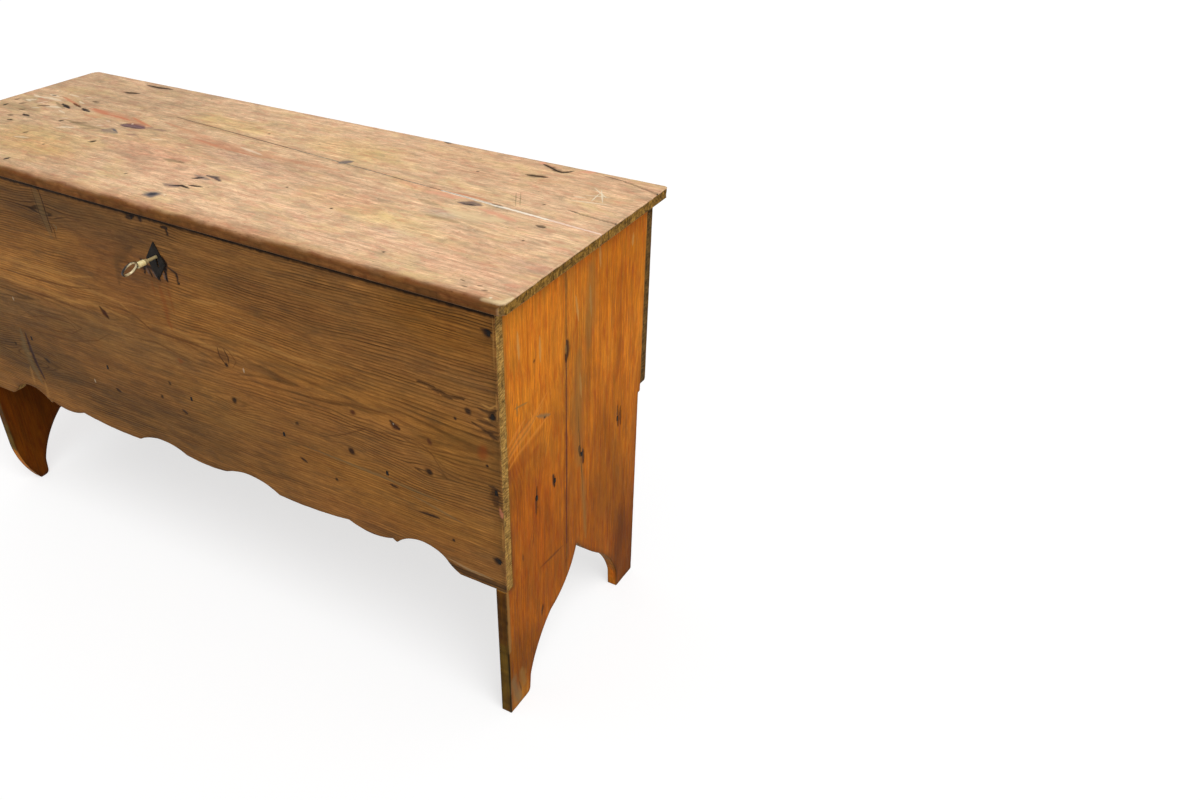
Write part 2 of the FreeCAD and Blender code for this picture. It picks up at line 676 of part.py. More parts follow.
def escutcheon():
    """A lozenge of sheet iron on the front board, leaning a little."""
    x, z = escutcheon_centre()
    half_width = ESCUTCHEON_WIDTH / 2
    half_height = ESCUTCHEON_HEIGHT / 2
    corners = [
        (x, FRONT, z + half_height),
        (x + half_width, FRONT, z),
        (x, FRONT, z - half_height),
        (x - half_width, FRONT, z),
    ]
    plate = prism(polygon(corners), (0, -ESCUTCHEON_THICKNESS, 0))
    plate = turned(plate, (x, FRONT, z), (0, 1, 0), ESCUTCHEON_TILT)
    return plate.cut(keyhole_cut(FRONT - ESCUTCHEON_THICKNESS - 1, FRONT + 1))


def escutcheon_pins():
    """One round-headed pin near each point of the lozenge."""
    x, z = escutcheon_centre()
    face = FRONT - ESCUTCHEON_THICKNESS
    half_width = ESCUTCHEON_WIDTH / 2 - PIN_INSET
    half_height = ESCUTCHEON_HEIGHT / 2 - PIN_INSET
    pins = []
    for dx, dz in ((0, half_height), (half_width, 0), (0, -half_height), (-half_width, 0)):
        shank = rod((x + dx, face, z + dz), (x + dx, face + PIN_LENGTH, z + dz), PIN_RADIUS)
        head = rod((x + dx, face - PIN_HEAD_DEPTH, z + dz), (x + dx, face, z + dz), PIN_HEAD_RADIUS)
        pins.append(turned(shank.fuse(head), (x, FRONT, z), (0, 1, 0), ESCUTCHEON_TILT))
    return pins


def cut_by(shape, tools):
    """The shape with every tool's hole in it."""
    return shape.cut(tools) if tools else shape


def model():
    """Every named piece of the chest."""
    nails = {
        "front_nails": front_nails(),
        "back_nails": back_nails(),
        "cleat_nails": cleat_nails(),
        "floor_nails": floor_nails(),
        "batten_nails": batten_nails(),
        "lock_nails": lock_nails(),
        "hasp_nails": hasp_nails(),
        "escutcheon_pins": escutcheon_pins(),
    }
    case_groups = ("front_nails", "back_nails", "cleat_nails", "floor_nails")
    case_fasteners = [nail for group in case_groups for nail in nails[group]]
    front_fittings = nails["lock_nails"] + nails["escutcheon_pins"]
    lid_fasteners = nails["batten_nails"] + nails["hasp_nails"]
    case_holes = [case_staple(x, WIRE_FIT) for x in HINGE_PLACES.values()]
    lid_holes = [lid_staple(x, WIRE_FIT) for x in HINGE_PLACES.values()]

    front = front_board()
    right_fore, right_rear = end_boards(RIGHT_INNER, RIGHT, front, RIGHT_FOOT_WIDTH)
    left_fore, left_rear = end_boards(LEFT, LEFT_INNER, front, LEFT_FOOT_WIDTH)
    left_fore = left_fore.cut(worn_left_toe(LEFT, LEFT_INNER))
    back_upper, back_lower = back_boards()
    floor_fore, floor_rear = floor_boards()
    lid_fore, lid_rear = lid_boards()
    right_cleat = cleat(RIGHT_INNER - CLEAT_WIDTH, RIGHT_INNER)
    left_cleat = cleat(LEFT_INNER, LEFT_INNER + CLEAT_WIDTH)
    key_shape = key()

    pieces = {
        "front_board": cut_by(front, case_fasteners + front_fittings),
        "right_end_front_board": cut_by(right_fore, case_fasteners),
        "right_end_rear_board": cut_by(right_rear, case_fasteners),
        "left_end_front_board": cut_by(left_fore, case_fasteners),
        "left_end_rear_board": cut_by(left_rear, case_fasteners),
        "back_upper_board": cut_by(back_upper, case_fasteners + case_holes),
        "back_lower_board": cut_by(back_lower, case_fasteners),
        "floor_front_board": cut_by(floor_fore, nails["floor_nails"]),
        "floor_rear_board": cut_by(floor_rear, nails["floor_nails"]),
        "right_floor_cleat": cut_by(right_cleat, nails["cleat_nails"]),
        "left_floor_cleat": cut_by(left_cleat, nails["cleat_nails"]),
        "lid_front_board": cut_by(lid_fore, lid_fasteners + lid_holes),
        "lid_rear_board": cut_by(lid_rear, lid_fasteners + lid_holes),
        "lock_plate": cut_by(lock_plate(), nails["lock_nails"]),
        "lock_case": lock_case(),
        "lock_bolt": bolt(),
        "key_post": key_post(),
        "lid_hasp": cut_by(hasp(), nails["hasp_nails"]),
        "key": key_shape,
        "key_collar": key_collar(key_shape),
        "escutcheon": cut_by(escutcheon(), nails["escutcheon_pins"]),
    }
    for side, x in batten_places().items():
        pieces[side + "_lid_batten"] = cut_by(batten(x), nails["batten_nails"])
    for side, x in HINGE_PLACES.items():
        pieces[side + "_hinge_case_staple"] = case_staple(x)
        pieces[side + "_hinge_lid_staple"] = lid_staple(x)
    for name, group in nails.items():
        pieces[name] = Part.makeCompound(group)
    return pieces


def main():
    os.makedirs("parts", exist_ok=True)
    for name, shape in model().items():
        shape.exportStep(os.path.join("parts", name + ".step"))


main()
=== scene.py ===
import json
import math

import bpy
import numpy as np
from mathutils import Matrix, Vector
from mathutils.geometry import delaunay_2d_cdt
from mathutils.kdtree import KDTree

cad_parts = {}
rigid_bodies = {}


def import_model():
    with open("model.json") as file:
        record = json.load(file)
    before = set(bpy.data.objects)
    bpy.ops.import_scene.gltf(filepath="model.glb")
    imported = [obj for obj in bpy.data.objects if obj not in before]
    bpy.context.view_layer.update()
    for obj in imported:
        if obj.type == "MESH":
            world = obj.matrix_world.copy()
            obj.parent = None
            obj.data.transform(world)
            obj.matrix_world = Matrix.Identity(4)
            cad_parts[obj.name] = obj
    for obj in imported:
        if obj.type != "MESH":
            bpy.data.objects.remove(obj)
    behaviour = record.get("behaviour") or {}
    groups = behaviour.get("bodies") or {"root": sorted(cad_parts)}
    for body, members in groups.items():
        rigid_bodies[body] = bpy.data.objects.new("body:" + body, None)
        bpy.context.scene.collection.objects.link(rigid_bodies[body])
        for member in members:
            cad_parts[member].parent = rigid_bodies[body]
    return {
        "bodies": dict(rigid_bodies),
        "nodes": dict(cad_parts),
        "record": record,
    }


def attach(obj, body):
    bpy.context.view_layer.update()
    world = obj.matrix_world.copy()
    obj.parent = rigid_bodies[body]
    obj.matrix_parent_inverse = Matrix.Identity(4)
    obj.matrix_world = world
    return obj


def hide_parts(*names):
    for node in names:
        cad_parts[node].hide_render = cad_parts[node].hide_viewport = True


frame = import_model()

for spare in list(bpy.data.objects):
    if spare not in list(frame["nodes"].values()) + list(frame["bodies"].values()):
        bpy.data.objects.remove(spare)
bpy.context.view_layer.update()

MM = 0.001

# Camera, solved from the chest's edges: metres, degrees and pixels of a 1200 x 800 image
IMAGE_WIDTH = 1200.0
IMAGE_HEIGHT = 800.0
FOCAL_PIXELS = 1065.5
IMAGE_CENTRE = (549.28, 441.72)
CAMERA_PLACE = (1.1606, -1.0277, 1.1876)
CAMERA_YAW = 31.806
CAMERA_PITCH = 34.364
CAMERA_ROLL = -0.7765
SENSOR_WIDTH = 36.0

# Board axes: along the grain, across it, and into the wood from the show face
FRONT_AXES = ((1, 0, 0), (0, 0, 1), (0, 1, 0))
BACK_AXES = ((1, 0, 0), (0, 0, 1), (0, -1, 0))
TOP_AXES = ((1, 0, 0), (0, 1, 0), (0, 0, -1))
RIGHT_AXES = ((0, 0, 1), (0, 1, 0), (-1, 0, 0))
LEFT_AXES = ((0, 0, 1), (0, 1, 0), (1, 0, 0))
UNDER_AXES = ((0, 1, 0), (1, 0, 0), (0, 0, 1))

# Mesh of a board, in millimetres
RIM_STEP = 2.0
RIM_RINGS = (0.35, 0.95, 1.9, 3.2)
WALL_LEVELS = (0.0, 0.1, 0.3, 0.5, 0.7, 0.9, 1.0)
BACK_ROUND = 0.6
BACK_CELL = 9.0
CORNER_TURN = 22.0
SMOOTH_PASSES = 3


def srgb(red, green, blue):
    """A colour written as on a screen, from 0 to 255, as shader values."""
    linear = []
    for c in (red / 255.0, green / 255.0, blue / 255.0):
        linear.append(c / 12.92 if c <= 0.04045 else ((c + 0.055) / 1.055) ** 2.4)
    return (linear[0], linear[1], linear[2], 1.0)


# Colours of marks in wood
KNOT_RED = srgb(84, 46, 28)
KNOT_DARK = srgb(58, 36, 22)
INK = srgb(32, 26, 26)
DIRT = srgb(46, 35, 24)
SMEAR = srgb(70, 52, 34)
BLUE_GREY = srgb(96, 92, 96)
PALE = srgb(240, 222, 190)
CREAM = srgb(232, 204, 158)
GOLD = srgb(204, 148, 80)
ORANGE = srgb(226, 140, 56)
RED_STREAK = srgb(200, 126, 92)
RED_DARK = srgb(140, 62, 24)
PINK = srgb(228, 164, 132)
PURPLE = srgb(120, 80, 80)
GREEN_GREY = srgb(122, 106, 74)
OLIVE = srgb(150, 112, 58)
BROWN_LINE = srgb(92, 54, 28)


def smoothstep(low, high, x):
    t = np.clip((x - low) / (high - low), 0.0, 1.0)
    return t * t * (3.0 - 2.0 * t)


def noise2(x, y, seed):
    """Smooth noise from 0 to 1 on a lattice with steps of 1."""
    table = np.random.default_rng(seed).random((64, 64))
    xi, yi = np.floor(x).astype(int), np.floor(y).astype(int)
    fx, fy = x - xi, y - yi
    fx, fy = fx * fx * (3 - 2 * fx), fy * fy * (3 - 2 * fy)
    x0, x1, y0, y1 = xi % 64, (xi + 1) % 64, yi % 64, (yi + 1) % 64
    low = table[x0, y0] * (1 - fx) + table[x1, y0] * fx
    high = table[x0, y1] * (1 - fx) + table[x1, y1] * fx
    return low * (1 - fy) + high * fy


def noise_sum(x, y, seed, octaves=3):
    """Noise from about -1 to 1, with finer and weaker layers."""
    total, weight = np.zeros_like(x), 0.0
    for i in range(octaves):
        total += (noise2(x * 2**i, y * 2**i, seed + i) * 2 - 1) / 2**i
        weight += 1 / 2**i
    return total / weight


# Outlines


def outer_loop(points, triangles):
    """The longest way round the border of some triangles, as points."""
    sides = {(t[i], t[(i + 1) % 3]) for t in triangles for i in range(3)}
    onward = {a: b for a, b in sides if (b, a) not in sides}
    best, best_area = None, 0.0
    while onward:
        first, current = onward.popitem()
        loop = [first]
        while current != first:
            loop.append(current)
            current = onward.pop(current)
        p = points[loop]
        q = np.roll(p, -1, axis=0)
        area = float(np.sum(p[:, 0] * q[:, 1] - q[:, 0] * p[:, 1])) / 2
        if abs(area) > abs(best_area):
            best, best_area = p, area
    return best if best_area > 0 else best[::-1]


def board_outline(node, axes):
    """A board's outline on its hidden face, its thickness and its show face's place."""
    mesh = node.data
    mesh.calc_loop_triangles()
    local = np.array([v.co for v in mesh.vertices]) / MM @ np.array(axes, float).T
    face = local[:, 2].min()
    depth = local[:, 2] - face
    thickness = depth.max()
    flat, place = np.unique(np.round(local[:, :2], 2), axis=0, return_inverse=True)
    place = place.reshape(-1)
    triangles = []
    for t in mesh.loop_triangles:
        if all(depth[v] > thickness - 0.02 for v in t.vertices):
            triangles.append(tuple(int(place[v]) for v in t.vertices))
    return outer_loop(flat, triangles), thickness, face


def resample(loop, step):
    """Even samples round a loop that keep its corners, and their inward normals."""
    ahead = np.roll(loop, -1, axis=0) - loop
    behind = loop - np.roll(loop, 1, axis=0)
    turn = np.arctan2(
        behind[:, 0] * ahead[:, 1] - behind[:, 1] * ahead[:, 0], (behind * ahead).sum(1)
    )
    corners = [int(i) for i in np.where(np.abs(turn) > math.radians(CORNER_TURN))[0]]
    samples = []
    for a, b in zip(corners, corners[1:] + [corners[0] + len(loop)]):
        run = loop[[i % len(loop) for i in range(a, b + 1)]]
        lengths = np.hypot(*np.diff(run, axis=0).T)
        along = np.concatenate([[0], np.cumsum(lengths)])
        count = max(1, int(round(along[-1] / step)))
        s = np.linspace(0, along[-1], count + 1)
        even = np.stack([np.interp(s, along, run[:, k]) for k in (0, 1)], 1)
        if len(run) > 2 and count > 2:
            for _ in range(SMOOTH_PASSES):
                even[1:-1] = (even[:-2] + 2 * even[1:-1] + even[2:]) / 4
        samples.append(even[:-1])
    rim = np.concatenate(samples)
    tangent = np.roll(rim, -1, axis=0) - np.roll(rim, 1, axis=0)
    tangent /= np.maximum(np.hypot(tangent[:, 0], tangent[:, 1]), 1e-9)[:, None]
    return rim, np.stack([-tangent[:, 1], tangent[:, 0]], 1)


def rim_distance(points, rim):
    """How far each point is from the rim, and which rim sample is nearest."""
    tree = KDTree(len(rim))
    for i, (p, q) in enumerate(rim):
        tree.insert((p, q, 0.0), i)
    tree.balance()
    nearest = np.array([tree.find((p, q, 0.0))[1] for p, q in points])
    distance = np.full(len(points), 1e9)
    for shift in (-1, 0):
        a = rim[(nearest + shift) % len(rim)]
        b = rim[(nearest + shift + 1) % len(rim)]
        run = b - a
        share = ((points - a) * run).sum(1) / np.maximum((run * run).sum(1), 1e-12)
        foot = a + run * np.clip(share, 0, 1)[:, None]
        distance = np.minimum(distance, np.hypot(*(points - foot).T))
    return distance, nearest


def grid_inside(rim, cell, low, high, seed):
    """Grid points inside the rim between two corners, row by row, slightly uneven."""
    rng = np.random.default_rng(seed)
    a, b = rim, np.roll(rim, -1, axis=0)
    rows = []
    for j, q in enumerate(np.arange(low[1] + cell[1] / 2, high[1], cell[1])):
        cross = (a[:, 1] <= q) != (b[:, 1] <= q)
        share = (q - a[cross, 1]) / (b[cross, 1] - a[cross, 1])
        hits = np.sort(a[cross, 0] + share * (b[cross, 0] - a[cross, 0]))
        p = np.arange(low[0] + cell[0] * (0.25 + 0.5 * (j % 2)), high[0], cell[0])
        inside = np.searchsorted(hits, p) % 2 == 1
        p = p[inside] + rng.uniform(-0.15, 0.15, int(inside.sum())) * cell[0]
        rows.append(np.stack([p, np.full(len(p), q)], 1))
    return np.concatenate(rows) if rows else np.zeros((0, 2))


def triangulate(points, rim_count, stretch):
    """Triangles over points whose first ones are the rim. Returns points, triangles and rim."""
    flat = [(p * stretch, q) for p, q in points]
    made = delaunay_2d_cdt(flat, [], [list(range(rim_count))], 1, 1e-6)
    out = np.array([(v[0] / stretch, v[1]) for v in made[0]])
    new_place = {}
    for i, sources in enumerate(made[3]):
        for s in sources:
            new_place[s] = i
    return out, [list(f) for f in made[2]], [new_place[i] for i in range(rim_count)]


# Marks in wood: each is a stroke along points, with a width, colour, strength and depth


def stroke(points, width, colour=INK, strength=1.0, depth=0.0, soft=0.4, taper=0.5):
    """A mark along a line of points, or round one point."""
    return {
        "points": np.array(points, float).reshape(-1, 2),
        "width": width,
        "colour": colour,
        "strength": strength,
        "depth": depth,
        "soft": soft,
        "taper": taper,
    }


def stroke_distance(points, mark):
    """Distance from points to a stroke's line, and how far along it they lie, from 0 to 1."""
    line = mark["points"]
    if len(line) == 1:
        return np.hypot(*(points - line[0]).T), np.full(len(points), 0.5)
    lengths = np.hypot(*np.diff(line, axis=0).T)
    starts = np.concatenate([[0], np.cumsum(lengths)])
    distance, along = np.full(len(points), 1e9), np.zeros(len(points))
    for i, (a, b) in enumerate(zip(line, line[1:])):
        run = b - a
        share = np.clip(((points - a) @ run) / max(run @ run, 1e-9), 0, 1)
        d = np.hypot(*(points - a - share[:, None] * run).T)
        closer = d < distance
        distance[closer] = d[closer]
        along[closer] = (starts[i] + share[closer] * lengths[i]) / starts[-1]
    return distance, along


def stroke_cover(points, mark, seed):
    """How much a stroke covers each point, from 0 to 1, with an uneven border."""
    low = mark["points"].min(0) - mark["width"] * 1.5
    high = mark["points"].max(0) + mark["width"] * 1.5
    near = np.where(((points > low) & (points < high)).all(1))[0]
    cover = np.zeros(len(points))
    if not len(near):
        return cover
    p = points[near]
    distance, along = stroke_distance(p, mark)
    step = max(mark["width"] * 0.7, 1.2)
    half = mark["width"] / 2 * (1 + 0.45 * noise_sum(p[:, 0] / step, p[:, 1] / step, seed, 2))
    half *= 1 - mark["taper"] * np.abs(2 * along - 1) ** 2
    half = np.maximum(half, 0.15)
    cover[near] = 1 - smoothstep(1 - mark["soft"], 1 + mark["soft"], distance / half)
    return cover


def fine_points(mark):
    """Extra mesh points where a stroke needs them, in a band round its line."""
    width = mark["width"]
    if width > 16:
        return np.zeros((0, 2))
    step = min(max(width / 4, 0.55), 1.6)
    line = mark["points"]
    if len(line) == 1:
        line = np.concatenate([line, line + (0.01, 0)])
    points = []
    half = width * 0.75 + step
    for a, b in zip(line, line[1:]):
        run = b - a
        length = max(float(np.hypot(*run)), 1e-6)
        t = run / length
        n = np.array([-t[1], t[0]])
        along = np.arange(-half, length + half, step * 1.4)
        across = np.arange(-half, half + 1e-6, step)
        for j, v in enumerate(across):
            shift = along + (0.7 * step if j % 2 else 0)
            points.append(a + shift[:, None] * t + v * n)
    return np.concatenate(points)


# Grain figure


def knot(p, q, radius, push=1.0, colour=KNOT_RED, strength=0.8, depth=0.0, long=1.0):
    """A knot: growth rings part round it, and its heart is dark."""
    return {
        "place": (p, q),
        "radius": radius,
        "push": push,
        "long": long,
        "mark": stroke([(p, q)], radius * 1.7, colour, strength, depth, 0.45),
    }


def ring_field(p, q, d, figure, knots):
    """Distance from the tree's heart, in millimetres, bent round the knots."""
    shifted = q.copy()
    for k in knots:
        kp, kq = k["place"]
        r = k["radius"]
        v = q - kq
        reach = np.exp(-(((p - kp) / (r * 4.5 * k["long"])) ** 2))
        shifted = shifted - k["push"] * r * np.tanh(1.6 * v / r) * reach * np.exp(
            -((v / (r * 3.6)) ** 2)
        )
    wander = figure["wander"]
    seed = figure["seed"]
    sway = wander * noise_sum(p / 260.0, q / 190.0, seed, 2)
    sway = sway + 0.28 * wander * noise_sum(p / 70.0, q / 45.0, seed + 9, 2)
    heart_q = figure["heart"][0] + figure["slope"] * p
    heart_d = figure["heart"][1] + figure["dive"] * p
    return np.hypot(shifted + sway - heart_q, d - heart_d)


# Boards


def near_line(points, ends, reach=0.9):
    """Which points lie on the line between two ends."""
    a, b = np.array(ends[:2], float), np.array(ends[2:4], float)
    run = b - a
    share = np.clip((points - a) @ run / (run @ run), 0, 1)
    return np.hypot(*(points - a - share[:, None] * run).T) < reach


def soften(values, passes):
    """Evens out values round a closed line."""
    for _ in range(passes):
        values = (np.roll(values, 1, axis=0) + 2 * values + np.roll(values, -1, axis=0)) / 4
    return values


def round_radius(rim, spec):
    """How far each part of the rim is worn round."""
    radius = np.full(len(rim), spec["usual_round"])
    for line in spec["rounds"]:
        radius[near_line(rim, line)] = line[4]
    worn = noise_sum(rim[:, 0] / 12.0, rim[:, 1] / 12.0, spec["figure"]["seed"] + 90, 3)
    return soften(radius, 4) * (1 + spec["chips"] * np.clip(worn, -0.7, 1.5))


def side_tint(rim, sides):
    """Colour factors of the walls, for the sides that differ."""
    tint = np.ones((len(rim), 3))
    for line, colour, _ in sides:
        tint[near_line(rim, line)] = colour
    uneven = 1 + 0.4 * noise_sum(rim[:, 0] / 9.0, rim[:, 1] / 9.0, 17, 3)
    return soften(tint, 2) * uneven[:, None]


def face_tint(points, distance, sides):
    """Colour factors of the face, where a side's colour runs round onto it."""
    tint = np.ones((len(points), 3))
    wander = noise_sum(points[:, 0] / 40.0, points[:, 1] / 9.0, 23, 3)
    for line, colour, reach in sides:
        near = near_line(points, line, reach * 2)
        share = 1 - smoothstep(0, reach * 1.4, distance + 0.35 * reach * wander)
        share = (share * near)[:, None]
        tint = tint * (1 - share + share * np.array(colour))
    return tint


def face_points(rim, normal, spec):
    """All points of a show face: rim, rings inside it, grid and fine patches."""
    low, high = rim.min(0), rim.max(0)
    marks = [m for m in spec["marks"] + [k["mark"] for k in spec["knots"]]]
    base = grid_inside(rim, spec["cell"], low, high, spec["figure"]["seed"])
    distance, _ = rim_distance(base, rim)
    base = base[distance > RIM_RINGS[-1] + 0.4 * min(spec["cell"])]
    fine = [fine_points(m) for m in marks]
    fine = np.concatenate(fine) if fine else np.zeros((0, 2))
    if len(fine):
        fine = fine[(fine > low + 1).all(1) & (fine < high - 1).all(1)]
        inside = points_inside(fine, rim)
        fine = fine[inside]
        distance, _ = rim_distance(fine, rim)
        fine = fine[distance > RIM_RINGS[-1] + 0.3]
        fine = thin_out(fine, 0.42)
        tree = KDTree(len(fine))
        for i, (p, q) in enumerate(fine):
            tree.insert((p, q, 0.0), i)
        tree.balance()
        gap = np.array([tree.find((p, q, 0.0))[2] for p, q in base])
        base = base[gap > 0.9]
    rings = []
    for offset in RIM_RINGS:
        ring = rim + normal * offset
        distance, _ = rim_distance(ring, rim)
        rings.append(ring[(distance > offset * 0.93) & points_inside(ring, rim)])
    return np.concatenate([rim] + rings + [base, fine])


def thin_out(points, gap):
    """The points left when those that share a small square are cut to one."""
    _, keep = np.unique(np.floor(points / gap).astype(int), axis=0, return_index=True)
    return points[np.sort(keep)]


def points_inside(points, rim):
    """Which points lie inside a closed line."""
    a, b = rim, np.roll(rim, -1, axis=0)
    inside = np.zeros(len(points), bool)
    for (ap, aq), (bp, bq) in zip(a, b):
        if aq == bq:
            continue
        cross = (aq <= points[:, 1]) != (bq <= points[:, 1])
        at = ap + (points[:, 1] - aq) / (bq - aq) * (bp - ap)
        inside ^= cross & (points[:, 0] < at)
    return inside


def relief(points, spec):
    """Slow unevenness of a hand-planed and worn face, in millimetres."""
    seed = spec["figure"]["seed"] + 40
    p, q = points.T
    slow = noise_sum(p / 160.0, q / 32.0, seed, 3)
    fine = noise_sum(p / 24.0, q / 5.0, seed + 7, 2)
    return spec["relief"] * (0.5 + 0.42 * slow) + spec["relief"] * 0.22 * (1 + fine)


def face_depth(points, rim, radius, spec):
    """Depth of the show face below the board's flat plane."""
    distance, nearest = rim_distance(points, rim)
    r = radius[nearest]
    short = np.clip(r - distance, 0, None)
    depth = r - np.sqrt(np.maximum(r * r - short * short, 0))
    away = smoothstep(0.0, 3.0, distance)
    depth = depth + relief(points, spec) * away
    for i, mark in enumerate(spec["marks"] + [k["mark"] for k in spec["knots"]]):
        if mark["depth"]:
            depth = depth + mark["depth"] * stroke_cover(points, mark, 300 + i) * away
    return depth, distance


def build_board(name, spec):
    """Replaces a CAD board with a worn one of the same size. Returns the new object."""
    node = frame["nodes"][name]
    axes = np.array(spec["axes"], float)
    loop, thickness, face = board_outline(node, axes)
    rim, normal = resample(loop, RIM_STEP)
    radius = round_radius(rim, spec)
    points = face_points(rim, normal, spec)
    stretch = spec["cell"][1] / spec["cell"][0]
    points, faces, rim_place = triangulate(points, len(rim), stretch)
    depth, distance = face_depth(points, rim, radius, spec)
    local = [np.column_stack([points, depth])]
    edge = [distance]
    end_share = np.abs(normal[:, 0])
    total = len(points)
    rough = spec["rough_edge"]
    previous = list(rim_place)
    rim_ends = [np.zeros(len(points))]
    base_tint = [face_tint(points, distance, spec["sides"])]
    walls = side_tint(rim, spec["sides"])
    # Walls: rings of points down to the hidden face
    deepest = thickness - BACK_ROUND
    count = len(rim)
    for level, share in enumerate(WALL_LEVELS[1:]):
        d = radius + (deepest - radius) * share
        p, q = rim.T
        pits = 0.5 + 0.5 * noise_sum((p + q) / 9.0 + d / 3.0, (q - p) / 40.0 + d / 4.0, spec["figure"]["seed"] + 70, 3)
        inset = rough * (0.25 + end_share) * pits if share < 1 else rough * 0.4
        ring = rim + normal * np.reshape(inset, (-1, 1))
        local.append(np.column_stack([ring, d]))
        edge.append(np.minimum(d, thickness - d))
        rim_ends.append(end_share)
        base_tint.append(walls)
        current = [total + i for i in range(count)]
        for i in range(count):
            j = (i + 1) % count
            faces.append([previous[i], current[i], current[j], previous[j]])
        previous = current
        total += count
    # Hidden face
    back_rim = rim + normal * BACK_ROUND
    low, high = rim.min(0), rim.max(0)
    inner = grid_inside(rim, (BACK_CELL, BACK_CELL), low, high, 5)
    gap, _ = rim_distance(inner, rim)
    inner = inner[gap > BACK_CELL * 0.4]
    back = np.concatenate([back_rim, inner])
    back, back_faces, back_place = triangulate(back, count, 1.0)
    local.append(np.column_stack([back, np.full(len(back), thickness)]))
    gap, _ = rim_distance(back, rim)
    edge.append(gap)
    rim_ends.append(np.zeros(len(back)))
    # Hidden face: a lower and an upper colour factor, split at a height; on the end boards the lower one is painted
    # shade on the feet's inner faces
    lower_tint_and_shade, high_colour, switch = spec["hidden"]
    share = smoothstep(switch - 6, switch + 6, back[:, 0])[:, None]
    base_tint.append(np.array(lower_tint_and_shade) * (1 - share) + np.array(high_colour) * share)
    for i in range(count):
        j = (i + 1) % count
        faces.append([previous[i], total + back_place[i], total + back_place[j], previous[j]])
    faces += [[total + v for v in reversed(f)] for f in back_faces]
    local = np.concatenate(local)
    flipped = np.dot(np.cross(axes[0], axes[1]), axes[2]) > 0
    if flipped:
        faces = [f[::-1] for f in faces]
    world = (local + (0, 0, face)) @ axes * MM
    mesh = bpy.data.meshes.new(name + "_worn")
    mesh.from_pydata(world.tolist(), [], faces)
    mesh.update()
    mesh.polygons.foreach_set("use_smooth", [True] * len(mesh.polygons))
    add_grain(mesh, local, np.concatenate(edge), np.concatenate(rim_ends), np.concatenate(base_tint), spec)
    board = bpy.data.objects.new(name + "_worn", mesh)
    bpy.context.scene.collection.objects.link(board)
    board.data.materials.append(spec["paint"])
    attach(board, spec["body"])
    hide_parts(name)
    return board


def set_values(mesh, name, kind, field, values):
    attribute = mesh.attributes.new(name, kind, "POINT")
    attribute.data.foreach_set(field, np.ascontiguousarray(values, np.float32).ravel())


def add_grain(mesh, local, edge, end_share, base_tint, spec):
    """Grain coordinates, growth rings, tints and marks, kept on the mesh's points."""
    p, q, d = local.T
    flat = local[:, :2]
    on_face = np.clip(1 - d / 3.0, 0, 1)
    rings = ring_field(p, q, d, spec["figure"], spec["knots"])
    tint = np.column_stack([base_tint, np.ones(len(local))])
    for centre, reach, angle, colour, strength in spec["tints"]:
        c, s = math.cos(math.radians(angle)), math.sin(math.radians(angle))
        u = ((p - centre[0]) * c + (q - centre[1]) * s) / reach[0]
        v = (-(p - centre[0]) * s + (q - centre[1]) * c) / reach[1]
        wobble = 0.25 * noise_sum(p / 90.0, q / 22.0, spec["figure"]["seed"] + 3, 3)
        share = strength * (1 - smoothstep(0.35, 1.25, np.hypot(u, v) + wobble))
        share = (share * on_face)[:, None]
        tint = tint * (1 - share) + tint * np.array(tuple(colour) + (1.0,)) * share
    mark = np.zeros((len(local), 4))
    for i, m in enumerate(spec["marks"] + [k["mark"] for k in spec["knots"]]):
        cover = stroke_cover(flat, m, 300 + i) * m["strength"] * on_face
        share = cover[:, None]
        mark[:, :3] = mark[:, :3] * (1 - share) + np.array(m["colour"][:3]) * share
        mark[:, 3] = 1 - (1 - mark[:, 3]) * (1 - cover)
    covered = np.maximum(mark[:, 3:4], 1e-4)
    mark[:, :3] = np.clip(mark[:, :3] / covered, 0, 1)
    set_values(mesh, "grain", "FLOAT_VECTOR", "vector", local + np.array(spec["offset"]))
    calm = np.ones(len(local))
    for centre, reach, factor in spec["calm"]:
        away = np.hypot((p - centre[0]) / reach[0], (q - centre[1]) / reach[1])
        away = away + 0.3 * noise_sum(p / 60.0, q / 25.0, spec["figure"]["seed"] + 5, 3)
        calm *= factor + (1 - factor) * smoothstep(0.4, 1.3, away)
    set_values(mesh, "ring", "FLOAT", "value", rings)
    set_values(mesh, "calm", "FLOAT", "value", calm)
    set_values(mesh, "edge", "FLOAT", "value", edge)
    set_values(mesh, "endgrain", "FLOAT", "value", end_share)
    set_values(mesh, "tint", "FLOAT_COLOR", "color", tint)
    set_values(mesh, "mark", "FLOAT_COLOR", "color", mark)


# Materials


